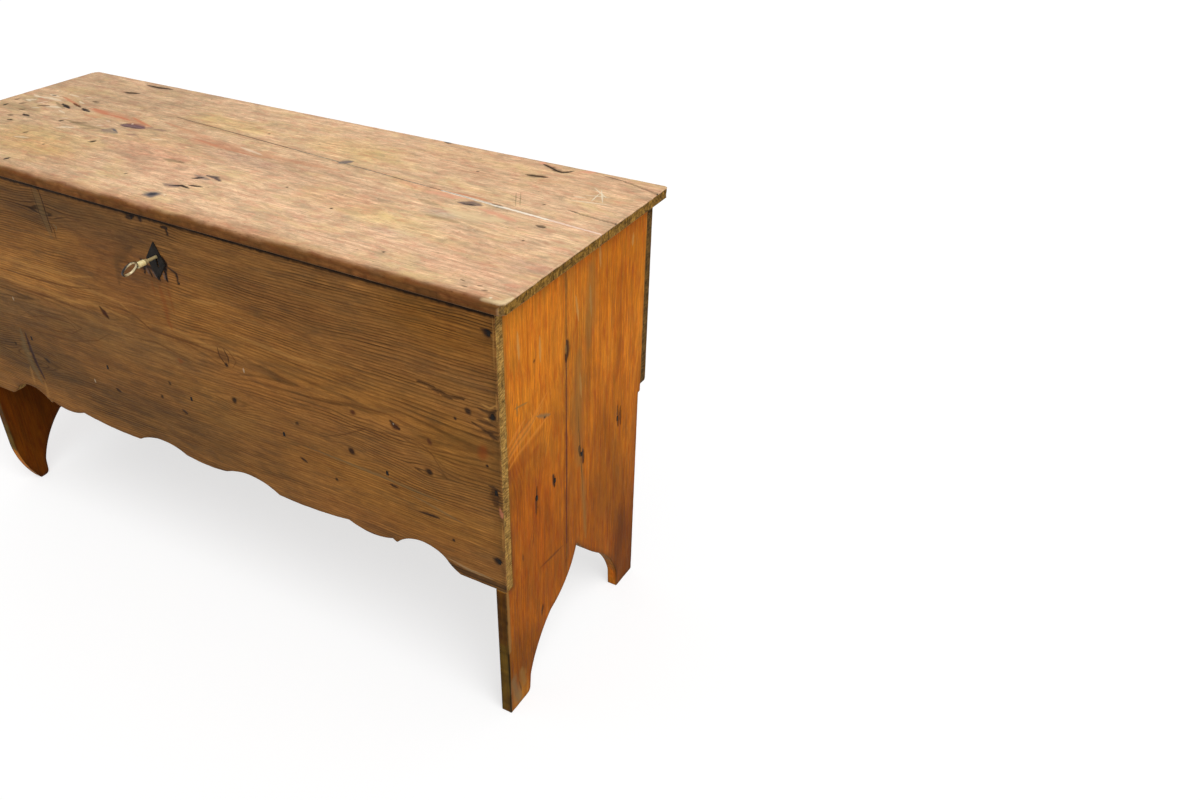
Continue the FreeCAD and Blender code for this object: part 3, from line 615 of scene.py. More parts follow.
class Paint:
    """Short calls that build one node material."""

    def __init__(self, name):
        self.material = bpy.data.materials.new(name)
        self.material.use_nodes = True
        self.tree = self.material.node_tree
        self.tree.nodes.clear()
        self.shader = self.node("ShaderNodeBsdfPrincipled")
        output = self.node("ShaderNodeOutputMaterial")
        self.tree.links.new(self.shader.outputs[0], output.inputs[0])

    def node(self, kind, **settings):
        made = self.tree.nodes.new(kind)
        for name, value in settings.items():
            setattr(made, name, value)
        return made

    def put(self, socket, value):
        if isinstance(value, bpy.types.NodeSocket):
            self.tree.links.new(value, socket)
        else:
            socket.default_value = value

    def attribute(self, name, output="Fac"):
        return self.node("ShaderNodeAttribute", attribute_name=name).outputs[output]

    def math(self, operation, a, b=0.0, clamp=False):
        made = self.node("ShaderNodeMath", operation=operation, use_clamp=clamp)
        self.put(made.inputs[0], a)
        self.put(made.inputs[1], b)
        return made.outputs[0]

    def mix(self, share, a, b, blend="MIX"):
        made = self.node("ShaderNodeMix", data_type="RGBA", blend_type=blend)
        self.put(made.inputs[0], share)
        self.put(made.inputs[6], a)
        self.put(made.inputs[7], b)
        return made.outputs[2]

    def scaled(self, vector, factors):
        made = self.node("ShaderNodeVectorMath", operation="MULTIPLY")
        self.put(made.inputs[0], vector)
        self.put(made.inputs[1], factors)
        return made.outputs[0]

    def noise(self, vector, scale=1.0, detail=2.0, rough=0.5, twist=0.0):
        made = self.node("ShaderNodeTexNoise")
        self.put(made.inputs["Vector"], vector)
        made.inputs["Scale"].default_value = scale
        made.inputs["Detail"].default_value = detail
        made.inputs["Roughness"].default_value = rough
        made.inputs["Distortion"].default_value = twist
        return made.outputs["Fac"]

    def noise_line(self, w, scale=1.0, detail=1.0):
        made = self.node("ShaderNodeTexNoise", noise_dimensions="1D")
        self.put(made.inputs["W"], w)
        made.inputs["Scale"].default_value = scale
        made.inputs["Detail"].default_value = detail
        return made.outputs["Fac"]

    def ramp(self, share, *stops):
        """A curve through (place, value) stops."""
        made = self.node("ShaderNodeValToRGB")
        self.put(made.inputs[0], share)
        steps = made.color_ramp.elements
        while len(steps) < len(stops):
            steps.new(0.5)
        for step, (place, value) in zip(steps, stops):
            step.position = place
            step.color = (value, value, value, 1.0)
        return made.outputs[0]

    def span(self, share, low, high, start=0.0, end=1.0):
        """Maps low..high to start..end, held at both ends."""
        made = self.node("ShaderNodeMapRange")
        self.put(made.inputs[0], share)
        for i, value in enumerate((low, high, start, end)):
            made.inputs[i + 1].default_value = value
        return made.outputs[0]

    def bump(self, height, strength, distance=0.001):
        made = self.node("ShaderNodeBump")
        made.inputs["Strength"].default_value = strength
        made.inputs["Distance"].default_value = distance
        self.put(made.inputs["Height"], height)
        self.put(self.shader.inputs["Normal"], made.outputs[0])

    def finish(self, colour, roughness):
        self.put(self.shader.inputs["Base Color"], colour)
        self.put(self.shader.inputs["Roughness"], roughness)
        return self.material


def wood(name, look):
    """Old softwood: growth rings, fibres, blotches, dirt, marks and sawn ends."""
    paint = Paint(name)
    grain = paint.attribute("grain", "Vector")
    edge = paint.attribute("edge")
    late = growth_rings(paint, grain, look)
    sway = paint.noise(paint.scaled(grain, (0.012, 0.02, 0.02)), 1.0, 2.0)
    bend = paint.node("ShaderNodeCombineXYZ")
    paint.put(bend.inputs[1], paint.math("MULTIPLY", sway, look["waver"]))
    shifted = paint.node("ShaderNodeVectorMath", operation="ADD")
    paint.put(shifted.inputs[0], grain)
    paint.put(shifted.inputs[1], bend.outputs[0])
    grain = paint.scaled(shifted.outputs[0], (look["run"], 1.0, 1.0))
    # Fibres along the grain
    hair = paint.noise(paint.scaled(grain, (0.06, 1.3, 1.3)), 1.0, 3.0, 0.7)
    fibre = paint.noise(paint.scaled(grain, (0.024, 0.55, 0.55)), 1.0, 3.0, 0.65)
    thread = paint.noise(paint.scaled(grain, (0.012, 0.26, 0.26)), 1.0, 2.0, 0.6)
    streak = paint.noise(paint.scaled(grain, (0.007, 0.11, 0.11)), 1.0, 3.0, 0.6, 0.2)
    colour = paint.mix(paint.math("MULTIPLY", late, look["ring_strength"]), look["early"], look["late"])
    layers = ((streak, "streak"), (thread, "thread"), (fibre, "fibre"), (hair, "hair"))
    for share, kind in layers:
        shade = paint.span(share, 0.34, 0.66, 1.0 - look[kind], 1.0 + look[kind])
        colour = paint.mix(1.0, colour, grey(paint, shade), "MULTIPLY")
    # Broad patches of warmer, greyer and redder wood
    patches = (("warm", (0.006, 0.024, 0.024), 1.0), ("cool", (0.008, 0.034, 0.034), 1.7), ("red", (0.01, 0.05, 0.05), 2.3))
    for kind, factors, scale in patches:
        patch = paint.noise(paint.scaled(grain, factors), scale, 5.0, 0.66, 0.5)
        colour = paint.mix(paint.span(patch, 0.47, 0.68, 0.0, look[kind + "_strength"]), colour, look[kind])
    mottle = paint.noise(paint.scaled(grain, (0.022, 0.05, 0.05)), 1.0, 6.0, 0.72, 1.0)
    mottle = paint.span(mottle, 0.34, 0.66, 1.0 - look["mottle"], 1.0 + look["mottle"])
    colour = paint.mix(1.0, colour, grey(paint, mottle), "MULTIPLY")
    # Scattered flecks and pores
    fleck = paint.noise(paint.scaled(grain, (0.09, 0.5, 0.5)), 1.0, 3.0, 0.7)
    colour = paint.mix(paint.span(fleck, 0.6, 0.72, 0.0, look["fleck"]), colour, look["fleck_colour"])
    glint = paint.noise(paint.scaled(grain, (0.07, 0.42, 0.42)), 1.3, 3.0, 0.7)
    colour = paint.mix(paint.span(glint, 0.6, 0.74, 0.0, look["glint"]), colour, look["glint_colour"])
    # Dirt towards the edges, and pale wear along the very edge
    grime = paint.noise(paint.scaled(grain, (0.03, 0.08, 0.08)), 1.0, 3.0, 0.6)
    near = paint.span(edge, 0.5, look["edge_reach"], 1.0, 0.0)
    near = paint.math("MULTIPLY", near, paint.span(grime, 0.35, 0.65, 0.25, 1.0))
    colour = paint.mix(paint.math("MULTIPLY", near, look["edge_dirt"]), colour, look["edge_colour"])
    rub = paint.noise(paint.scaled(grain, (0.06, 0.3, 0.3)), 1.0, 3.0, 0.7)
    near = paint.math("MULTIPLY", paint.span(edge, 0.2, 2.6, 1.0, 0.0), paint.span(rub, 0.38, 0.58))
    colour = paint.mix(paint.math("MULTIPLY", near, look["wear"]), colour, look["wear_colour"])
    colour = paint.mix(1.0, colour, paint.attribute("tint", "Color"), "MULTIPLY")
    # Sawn ends: short strokes through the thickness, dark blotches
    saw = paint.noise(paint.scaled(grain, (0.4, 0.6, 0.1)), 1.0, 4.0, 0.7, 0.5)
    blotch = paint.noise(paint.scaled(grain, (0.07, 0.07, 0.16)), 1.0, 5.0, 0.7, 0.6)
    sawn = paint.mix(paint.span(saw, 0.36, 0.64), look["end_dark"], look["end_pale"])
    sawn = paint.mix(paint.span(blotch, 0.42, 0.66, 0.0, 0.8), sawn, look["end_fleck"])
    sawn = paint.mix(paint.math("MULTIPLY", late, 0.55), sawn, look["end_fleck"])
    end = paint.span(paint.attribute("endgrain"), 0.25, 0.75)
    colour = paint.mix(end, colour, sawn)
    marks = paint.node("ShaderNodeAttribute", attribute_name="mark")
    ragged = paint.span(paint.math("ADD", hair, fibre), 0.75, 1.2, 1.0, 1.5)
    cover = paint.math("MULTIPLY", marks.outputs["Alpha"], ragged, True)
    colour = paint.mix(cover, colour, marks.outputs["Color"])
    height = paint.math("MULTIPLY", late, look["ring_relief"])
    height = paint.math("ADD", height, paint.math("MULTIPLY", fibre, 0.55))
    height = paint.math("ADD", height, paint.math("MULTIPLY", hair, 0.3))
    height = paint.math("ADD", height, paint.math("MULTIPLY", paint.math("MULTIPLY", saw, end), 1.6))
    paint.bump(height, look["bump"], 0.0006)
    roughness = paint.span(fibre, 0.35, 0.65, look["rough"][0], look["rough"][1])
    paint.shader.inputs["Specular IOR Level"].default_value = look["gloss"]
    return paint.finish(colour, roughness)


def growth_rings(paint, grain, look):
    """Late wood of the growth rings, 0 to 1, unevenly spaced and uneven in strength."""
    sway = paint.noise(paint.scaled(grain, (0.006, 0.03, 0.03)), 1.0, 2.0)
    ripple = paint.noise(paint.scaled(grain, (0.03, 0.25, 0.25)), 1.0, 2.0)
    bent = paint.math("ADD", paint.attribute("ring"), paint.math("MULTIPLY", sway, look["sway"]))
    bent = paint.math("ADD", bent, paint.math("MULTIPLY", ripple, look["ripple"]))
    uneven = paint.noise_line(bent, 0.05, 1.0)
    turns = paint.math("MULTIPLY", bent, 1.0 / look["spacing"])
    turns = paint.math("ADD", turns, paint.math("MULTIPLY", uneven, look["uneven"]))
    late = paint.ramp(paint.math("FRACT", turns), (0.0, 0.12), (0.14, 0.0), (0.5, 0.1), (0.78, 1.0), (0.92, 0.9), (1.0, 0.12))
    band = paint.span(paint.noise_line(turns, 0.37, 1.0), 0.35, 0.65, look["band_least"], 1.0)
    patchy = paint.noise(paint.scaled(grain, (0.006, 0.02, 0.02)), 1.0, 3.0)
    patchy = paint.span(patchy, 0.38, 0.6, look["ring_least"], 1.0)
    patchy = paint.math("MULTIPLY", patchy, paint.attribute("calm"))
    return paint.math("MULTIPLY", late, paint.math("MULTIPLY", band, patchy))


def grey(paint, value):
    """A grey colour from a number."""
    made = paint.node("ShaderNodeCombineColor")
    for i in range(3):
        paint.put(made.inputs[i], value)
    return made.outputs[0]


BASE_LOOK = {
    "spacing": 3.9,
    "waver": 4.0,
    "mottle": 0.09,
    "sway": 4.0,
    "ripple": 0.6,
    "uneven": 1.6,
    "run": 1.0,
    "early": srgb(160, 112, 60),
    "late": srgb(92, 56, 28),
    "ring_strength": 0.8,
    "ring_least": 0.3,
    "band_least": 0.2,
    "streak": 0.26,
    "thread": 0.3,
    "fibre": 0.26,
    "hair": 0.2,
    "warm": srgb(186, 132, 72),
    "warm_strength": 0.35,
    "cool": srgb(92, 74, 54),
    "cool_strength": 0.4,
    "red": srgb(140, 84, 50),
    "red_strength": 0.2,
    "fleck": 0.4,
    "fleck_colour": srgb(62, 44, 28),
    "glint": 0.2,
    "glint_colour": srgb(206, 166, 110),
    "edge_reach": 9.0,
    "edge_dirt": 0.5,
    "edge_colour": srgb(60, 44, 28),
    "wear": 0.5,
    "wear_colour": srgb(150, 118, 72),
    "end_dark": srgb(92, 66, 30),
    "end_pale": srgb(192, 146, 76),
    "end_fleck": srgb(70, 52, 26),
    "ring_relief": 0.5,
    "bump": 0.5,
    "rough": (0.5, 0.72),
    "gloss": 0.05,
}


def look(**changes):
    return {**BASE_LOOK, **changes}


FRONT_LOOK = look(
    end_dark=srgb(124, 88, 38),
    end_pale=srgb(224, 174, 92),
    end_fleck=srgb(78, 58, 28),
    spacing=4.2,
    early=srgb(162, 110, 57),
    late=srgb(42, 24, 9),
    ring_strength=0.95,
    ring_least=0.45,
    band_least=0.55,
    streak=0.12,
    thread=0.13,
    fibre=0.2,
    hair=0.2,
    warm=srgb(166, 116, 58),
    cool=srgb(98, 74, 48),
    cool_strength=0.5,
    red=srgb(110, 62, 34),
    red_strength=0.35,
    fleck_colour=srgb(60, 38, 20),
    wear=0.12,
)
END_LOOK = look(
    spacing=5.0,
    early=srgb(222, 130, 33),
    late=srgb(160, 74, 12),
    ring_strength=0.55,
    warm=srgb(236, 150, 44),
    warm_strength=0.5,
    cool=srgb(170, 106, 36),
    cool_strength=0.6,
    red=srgb(190, 84, 22),
    red_strength=0.55,
    streak=0.12,
    thread=0.15,
    fibre=0.2,
    hair=0.16,
    fleck=0.25,
    fleck_colour=srgb(128, 66, 20),
    glint=0.35,
    glint_colour=srgb(240, 178, 88),
    wear_colour=srgb(176, 136, 72),
)
LID_LOOK = look(
    run=1.5,
    waver=9.0,
    mottle=0.10,
    spacing=5.2,
    early=srgb(236, 197, 157),
    late=srgb(178, 136, 102),
    ring_strength=0.45,
    ring_least=0.1,
    streak=0.12,
    thread=0.12,
    fibre=0.18,
    hair=0.18,
    warm=srgb(230, 200, 142),
    warm_strength=0.7,
    cool=srgb(184, 156, 124),
    cool_strength=0.8,
    red=srgb(216, 156, 124),
    red_strength=0.7,
    fleck=0.7,
    fleck_colour=srgb(130, 96, 66),
    glint=0.6,
    glint_colour=srgb(246, 222, 190),
    edge_dirt=0.3,
    edge_colour=srgb(160, 112, 82),
    wear=0.1,
    wear_colour=srgb(226, 190, 146),
    end_dark=srgb(74, 50, 18),
    end_pale=srgb(200, 150, 68),
    end_fleck=srgb(48, 34, 13),
    rough=(0.6, 0.82),
)
BACK_LOOK = look(
    early=srgb(150, 116, 76),
    late=srgb(100, 74, 46),
    end_dark=srgb(60, 42, 20),
    end_pale=srgb(140, 104, 52),
    end_fleck=srgb(48, 36, 20),
    warm=srgb(160, 120, 76),
    cool=srgb(104, 90, 70),
    rough=(0.65, 0.85),
)
INSIDE_LOOK = look(
    early=srgb(172, 130, 84),
    late=srgb(122, 84, 50),
    warm=srgb(186, 142, 90),
    cool=srgb(130, 104, 76),
    rough=(0.65, 0.85),
)


# Boards


def figure(heart, slope=0.0, dive=0.0, wander=5.0, seed=1):
    """Where the tree's heart runs beside a board, and how it wanders."""
    return {"heart": heart, "slope": slope, "dive": dive, "wander": wander, "seed": seed}


PLAIN = {
    "marks": [],
    "tints": [],
    "knots": [],
    "rounds": (),
    "sides": (),
    "calm": (),
    "hidden": ((1.0, 1.0, 1.0), (1.0, 1.0, 1.0), 0.0),
    "usual_round": 1.0,
    "chips": 0.4,
    "rough_edge": 0.35,
    "relief": 0.35,
    "cell": (6.0, 4.0),
    "body": "case",
    "offset": (0.0, 0.0, 0.0),
}

# Places of marks are measured in millimetres from the chest's right front corner at the floor
CORNER_X = 559.0
CORNER_Y = -170.0
FRONT_SHIFT = (CORNER_X, 0.0)
LID_SHIFT = (CORNER_X, CORNER_Y)
END_SHIFT = (0.0, CORNER_Y)


def moved(shift, marks=(), tints=(), knots=()):
    """Marks, tints and knots moved from measured places to the board's own axes."""
    shift = np.array(shift)
    marks = [{**m, "points": m["points"] + shift} for m in marks]
    tints = [(tuple(np.array(t[0]) + shift),) + tuple(t[1:]) for t in tints]
    moved_knots = []
    for k in knots:
        mark = {**k["mark"], "points": k["mark"]["points"] + shift}
        moved_knots.append({**k, "place": tuple(np.array(k["place"]) + shift), "mark": mark})
    return {"marks": marks, "tints": tints, "knots": moved_knots}


def spots(places, width, colour=INK, strength=0.9, depth=0.3):
    return [stroke([place], width, colour, strength, depth, 0.5, 0.0) for place in places]


def lines(runs, width, colour, strength, depth=0.0, soft=0.8, taper=0.8):
    return [stroke(run, width, colour, strength, depth, soft, taper) for run in runs]


# Front board, at (x, z)
FRONT_MARKS = (
    # Spike knots and their flanks
    lines([[(-788, 644), (-786, 600), (-781, 566)]], 14, srgb(112, 92, 62), 0.4, 0.0, 1.0, 0.5)
    + lines([[(-781, 645), (-778, 625), (-777, 597), (-776, 572)]], 2.6, KNOT_DARK, 0.9, 0.3, 0.5, 0.5)
    + lines([[(-796, 642), (-793, 600), (-786, 572)], [(-777, 590), (-769, 580), (-770, 563)]], 1.8, KNOT_DARK, 0.7)
    + lines([[(-768, 588), (-762, 584), (-764, 577)]], 2.0, GREEN_GREY, 0.9)
    + lines([[(-931, 364), (-930, 335), (-925, 305), (-917, 282)]], 8.5, srgb(52, 36, 36), 0.9, 0.4, 0.7, 0.7)
    + lines([[(-941, 372), (-944, 335), (-938, 300), (-928, 270)]], 14, GREEN_GREY, 0.35, 0.0, 0.9)
    + lines([[(-919, 278), (-921, 250), (-934, 231)], [(-947, 300), (-951, 260)]], 7, GOLD, 0.25, 0.0, 0.9)
    # Golden waves
    + lines(
        [
            [(-960, 500), (-850, 502), (-763, 507), (-707, 518)],
            [(-960, 462), (-827, 464), (-743, 462)],
            [(-903, 491), (-804, 491), (-718, 493), (-661, 489), (-631, 473)],
            [(-848, 449), (-730, 470), (-645, 466)],
            [(-604, 469), (-542, 473), (-489, 466), (-406, 470)],
            [(-501, 533), (-450, 540)],
            [(-430, 500), (-330, 494), (-250, 498)],
        ],
        6,
        GOLD,
        0.32,
        0.0,
        1.0,
    )
    + lines(
        [
            [(-940, 478), (-850, 480), (-770, 487), (-700, 500)],
            [(-900, 452), (-820, 454), (-735, 452)],
            [(-700, 478), (-640, 478), (-604, 460), (-520, 460), (-420, 458)],
            [(-640, 560), (-560, 566)],
        ],
        3.5,
        BROWN_LINE,
        0.55,
    )
    # Arched figure at the left and round the knots at the right
    + lines(
        [
            [(-930, 396), (-887, 420), (-808, 428), (-771, 416), (-800, 400), (-857, 391), (-909, 390)],
            [(-905, 402), (-850, 417), (-800, 419), (-786, 411), (-830, 399)],
            [(-950, 386), (-900, 378), (-800, 386), (-740, 404), (-700, 428)],
            [(-670, 432), (-600, 440), (-520, 428), (-470, 430)],
            [(-470, 474), (-448, 470), (-436, 455), (-446, 442)],
            [(-287, 419), (-252, 412), (-213, 420), (-251, 398), (-298, 378)],
            [(-213, 420), (-156, 428), (-105, 418), (-84, 386)],
            [(-260, 432), (-200, 436), (-120, 428), (-80, 400)],
            [(-310, 440), (-231, 452), (-170, 456), (-100, 446)],
        ],
        2.2,
        BROWN_LINE,
        0.45,
    )
    # Dull smear left of and below the keyhole
    + lines([[(-562, 545), (-559, 515), (-560, 491), (-556, 470)]], 9, RED_DARK, 0.3, 0.0, 0.9)
    + lines([[(-576, 548), (-575, 520)], [(-545, 548), (-543, 500)]], 4, RED_DARK, 0.25, 0.0, 0.9)
    + lines([[(-600, 590), (-640, 560), (-650, 520)]], 14, SMEAR, 0.35, 0.0, 0.9)
    # Gouges, black smudges and the key's painted shadow round the escutcheon
    + lines(
        [
            [(-585, 565), (-585, 556)],
            [(-577, 563), (-572, 552)],
            [(-566, 562), (-557, 549)],
            [(-543, 564), (-542, 551)],
            [(-534, 573), (-526, 570), (-520, 567), (-521, 552)],
            [(-590, 574), (-576, 570)],
        ],
        4.4,
        INK,
        0.9,
        0.5,
        0.5,
        0.4,
    )
    + lines([[(-587, 565), (-576, 565), (-565, 563), (-561, 555)]], 6, INK, 0.9, 0.3, 0.7, 0.4)
    + lines([[(-541, 586), (-537, 579), (-542, 565), (-543, 553)]], 6, INK, 0.95, 0.3, 0.6, 0.5)
    # Soft dark patches left and right below the key: painted shadow of the key, mixed with a dark stain
    + lines([[(-596, 560), (-580, 563)], [(-546, 580), (-544, 566)]], 10, INK, 0.6, 0.0, 1.0)
    + lines([[(-581, 564), (-577, 553)], [(-570, 562), (-563, 551)], [(-547, 564), (-546, 552)]], 3, BLUE_GREY, 0.55)
    + lines([[(-529, 633), (-521, 634), (-520, 624)]], 5, INK, 0.95, 0.6, 0.4, 0.2)
    + lines([[(-597, 633), (-582, 637)]], 7, INK, 0.85, 0.4, 0.6, 0.5)
    + spots([(-569, 636)], 7, INK, 0.9)
    + [stroke([(-552, 589), (-552, 571)], 9, INK, 1.0, 7.0, 0.25, 0.0)]
    # Knots, holes and spots
    + lines([[(-711, 469), (-704, 462), (-697, 454)]], 8, KNOT_DARK, 0.85, 0.4, 0.6, 0.5)
    + lines([[(-469, 470), (-468, 456), (-459, 444)], [(-458, 471), (-451, 458), (-452, 446)]], 2.4, KNOT_DARK, 0.9, 0.4)
    + spots([(-457, 444)], 6, INK, 0.8)
    + lines([[(-168, 446), (-162, 440), (-155, 439)]], 6, INK, 0.95, 0.8, 0.4, 0.3)
    # Pale dot on the knot: a painted highlight
    + spots([(-164, 443)], 2.5, PALE, 0.8)
    + spots([(-617, 342), (-591, 373), (-968, 336), (-337, 387), (-278, 313)], 6, DIRT, 0.85)
    + lines([[(-898, 327), (-886, 322)], [(-728, 322), (-716, 319)], [(-578, 331), (-566, 327)]], 5.5, INK, 0.85, 0.4)
    + lines([[(-343, 328), (-329, 323)], [(-135, 314), (-101, 316)], [(-181, 342), (-168, 340)]], 4.5, INK, 0.85, 0.4)
    + spots([(-456, 386)], 9, DIRT, 0.85)
    + spots([(-243, 374)], 8, KNOT_DARK, 0.9)
    + spots([(-112, 388)], 10, DIRT, 0.85)
    + spots([(-45, 501)], 8.5, INK, 0.95, 0.8)
    + spots([(-64, 485), (-81, 287), (-20, 430)], 4.5, INK, 0.9)
    + lines([[(-24, 455), (-26, 444)]], 18, RED_DARK, 0.5, 0.0, 0.9, 0.3)
    + lines([[(-777, 325), (-776, 318)], [(-424, 449), (-424, 441)], [(-933, 430), (-932, 423)]], 2.6, PALE, 0.4)
    + lines([[(-145, 338), (-100, 330), (-60, 322)], [(-330, 352), (-200, 350), (-90, 345)]], 4, GREEN_GREY, 0.4)
    # Crack and splits at the right edge
    + lines([[(-117, 521), (-101, 520), (-87, 516), (-72, 513), (-50, 517)]], 6.0, INK, 1.0, 1.6, 0.3, 0.5)
    + lines([[(-30, 511), (-13, 508), (-1, 517)], [(-32, 494), (-4, 492)], [(-40, 488), (-18, 480), (-2, 484)]], 4.5, INK, 0.85, 1.2)
    + lines([[(-26, 520), (-12, 516), (-2, 524)], [(-22, 500), (-6, 500)]], 3, GOLD, 0.5)
    + lines([[(-16, 478), (-4, 474)], [(-20, 400), (-4, 398)], [(-18, 388), (-4, 386)]], 5, INK, 0.85, 0.8)
    + lines([[(-12, 392), (-10, 374)]], 13, KNOT_DARK, 0.95, 1.0, 0.5, 0.3)
    + lines([[(-15, 378), (-7, 376)]], 5, INK, 0.9, 1.0)
    + lines([[(-4, 372), (-1, 356)]], 5, RED_STREAK, 0.7, 0.0, 0.7)
    + spots([(-10, 617), (-9, 505), (-11, 281)], 11, INK, 0.9, 0.4)
    + lines([[(-20, 620), (-2, 618)], [(-18, 283), (-4, 281)]], 4, INK, 0.7, 0.4)
    # Dirty lower edge at the right
    + lines([[(-112, 250), (-90, 241), (-70, 238), (-37, 238), (0, 238)]], 9, DIRT, 0.75, 0.6, 0.8, 0.2)
    + lines([[(-95, 252), (-60, 246), (-20, 246)]], 4, CREAM, 0.2)
    + lines([[(-2, 640), (-3, 560)], [(-2, 540), (-2, 500)], [(-2, 350), (-2, 300)]], 2.2, GOLD, 0.4)
    # Painted shadow: a dark line along the top of the front board, under the lid's front edge
    + lines([[(-1100, 641), (-550, 641), (0, 641)]], 6.5, srgb(34, 22, 14), 0.85, 0.0, 0.7, 0.0)
)
FRONT_TINTS = (
    ((-640, 545), (120, 70), 0, (0.76, 0.72, 0.84), 0.85),
    ((-900, 400), (190, 60), 0, (0.68, 0.72, 0.86), 0.8),
    ((-960, 320), (150, 60), 0, (0.44, 0.52, 0.70), 0.9),
    ((-930, 600), (180, 50), 0, (0.66, 0.68, 0.76), 0.8),
    ((-930, 488), (230, 34), 2, (1.6, 1.6, 1.5), 0.8),
    ((-680, 610), (240, 40), 0, (0.54, 0.62, 0.84), 0.85),
    ((-650, 340), (280, 60), 0, (0.72, 0.76, 0.9), 0.8),
    ((-690, 425), (210, 44), 0, (0.80, 0.92, 1.14), 0.8),
    ((-960, 420), (110, 40), 0, (0.86, 0.98, 1.16), 0.8),
    ((-650, 285), (280, 50), 0, (0.54, 0.60, 0.74), 0.85),
    ((-200, 470), (190, 50), 0, (1.26, 1.22, 0.95), 0.6),
    ((-350, 568), (130, 34), -4, (0.72, 0.72, 0.8), 0.7),
    ((-60, 610), (120, 50), 0, (0.94, 0.86, 0.56), 0.8),
    ((-320, 615), (180, 30), 0, (0.88, 0.92, 0.98), 0.7),
    ((-460, 510), (160, 50), 0, (1.3, 1.25, 1.05), 0.6),
    ((-180, 262), (170, 36), 0, (0.95, 0.88, 0.9), 0.6),
    ((-150, 320), (220, 60), 0, (1.15, 1.12, 0.85), 0.6),
    ((-370, 425), (110, 30), 0, (1.2, 1.12, 1.0), 0.6),
    ((-500, 360), (110, 40), 0, (1.15, 1.2, 1.08), 0.6),
    ((-6, 440), (14, 220), 0, (0.8, 0.82, 0.8), 0.7),
    ((-60, 430), (70, 50), 0, (0.9, 0.9, 0.7), 0.7),
)
FRONT_CALM = (
    ((CORNER_X - 700, 400), (330, 110), 0.45),
    ((CORNER_X - 640, 560), (110, 90), 0.35),
    ((CORNER_X - 300, 290), (380, 60), 0.6),
)
FRONT_KNOTS = (
    knot(-779, 605, 9, 1.0, KNOT_RED, 0.0),
    knot(-926, 318, 12, 1.4, KNOT_RED, 0.0),
    knot(-704, 461, 7, 1.2, KNOT_RED, 0.5),
    knot(-461, 457, 9, 1.2, srgb(116, 78, 44), 0.55),
    knot(-161, 441, 7, 1.3, KNOT_RED, 0.6),
    knot(-231, 440, 5.5, 1.3, KNOT_RED, 0.75),
    knot(-107, 436, 4.5, 1.2, KNOT_RED, 0.7),
    knot(-243, 374, 6, 1.2, KNOT_DARK, 0.5),
    knot(-112, 388, 7, 1.2, KNOT_DARK, 0.4),
    knot(-456, 386, 6, 1.2, KNOT_DARK, 0.3),
    knot(-554, 422, 6, 1.2, RED_DARK, 0.35),
)

# Where the hinge staples' legs show on the lid, at (x, y)
HINGE_SLITS = {
    "right": [(-175, 343), (-160, 345), (-143, 348)],
    "left": [(-987, 336), (-972, 338), (-955, 342)],
}
HINGE_CLINCHES = {
    "right": [(-176, 390), (-168, 387), (-156, 382), (-147, 377), (-137, 374), (-128, 380), (-124, 388)],
    "left": [(-986, 384), (-972, 384), (-960, 383), (-948, 384), (-936, 386), (-922, 387)],
}
HINGE_STAINS = list(HINGE_SLITS.values()) + list(HINGE_CLINCHES.values())

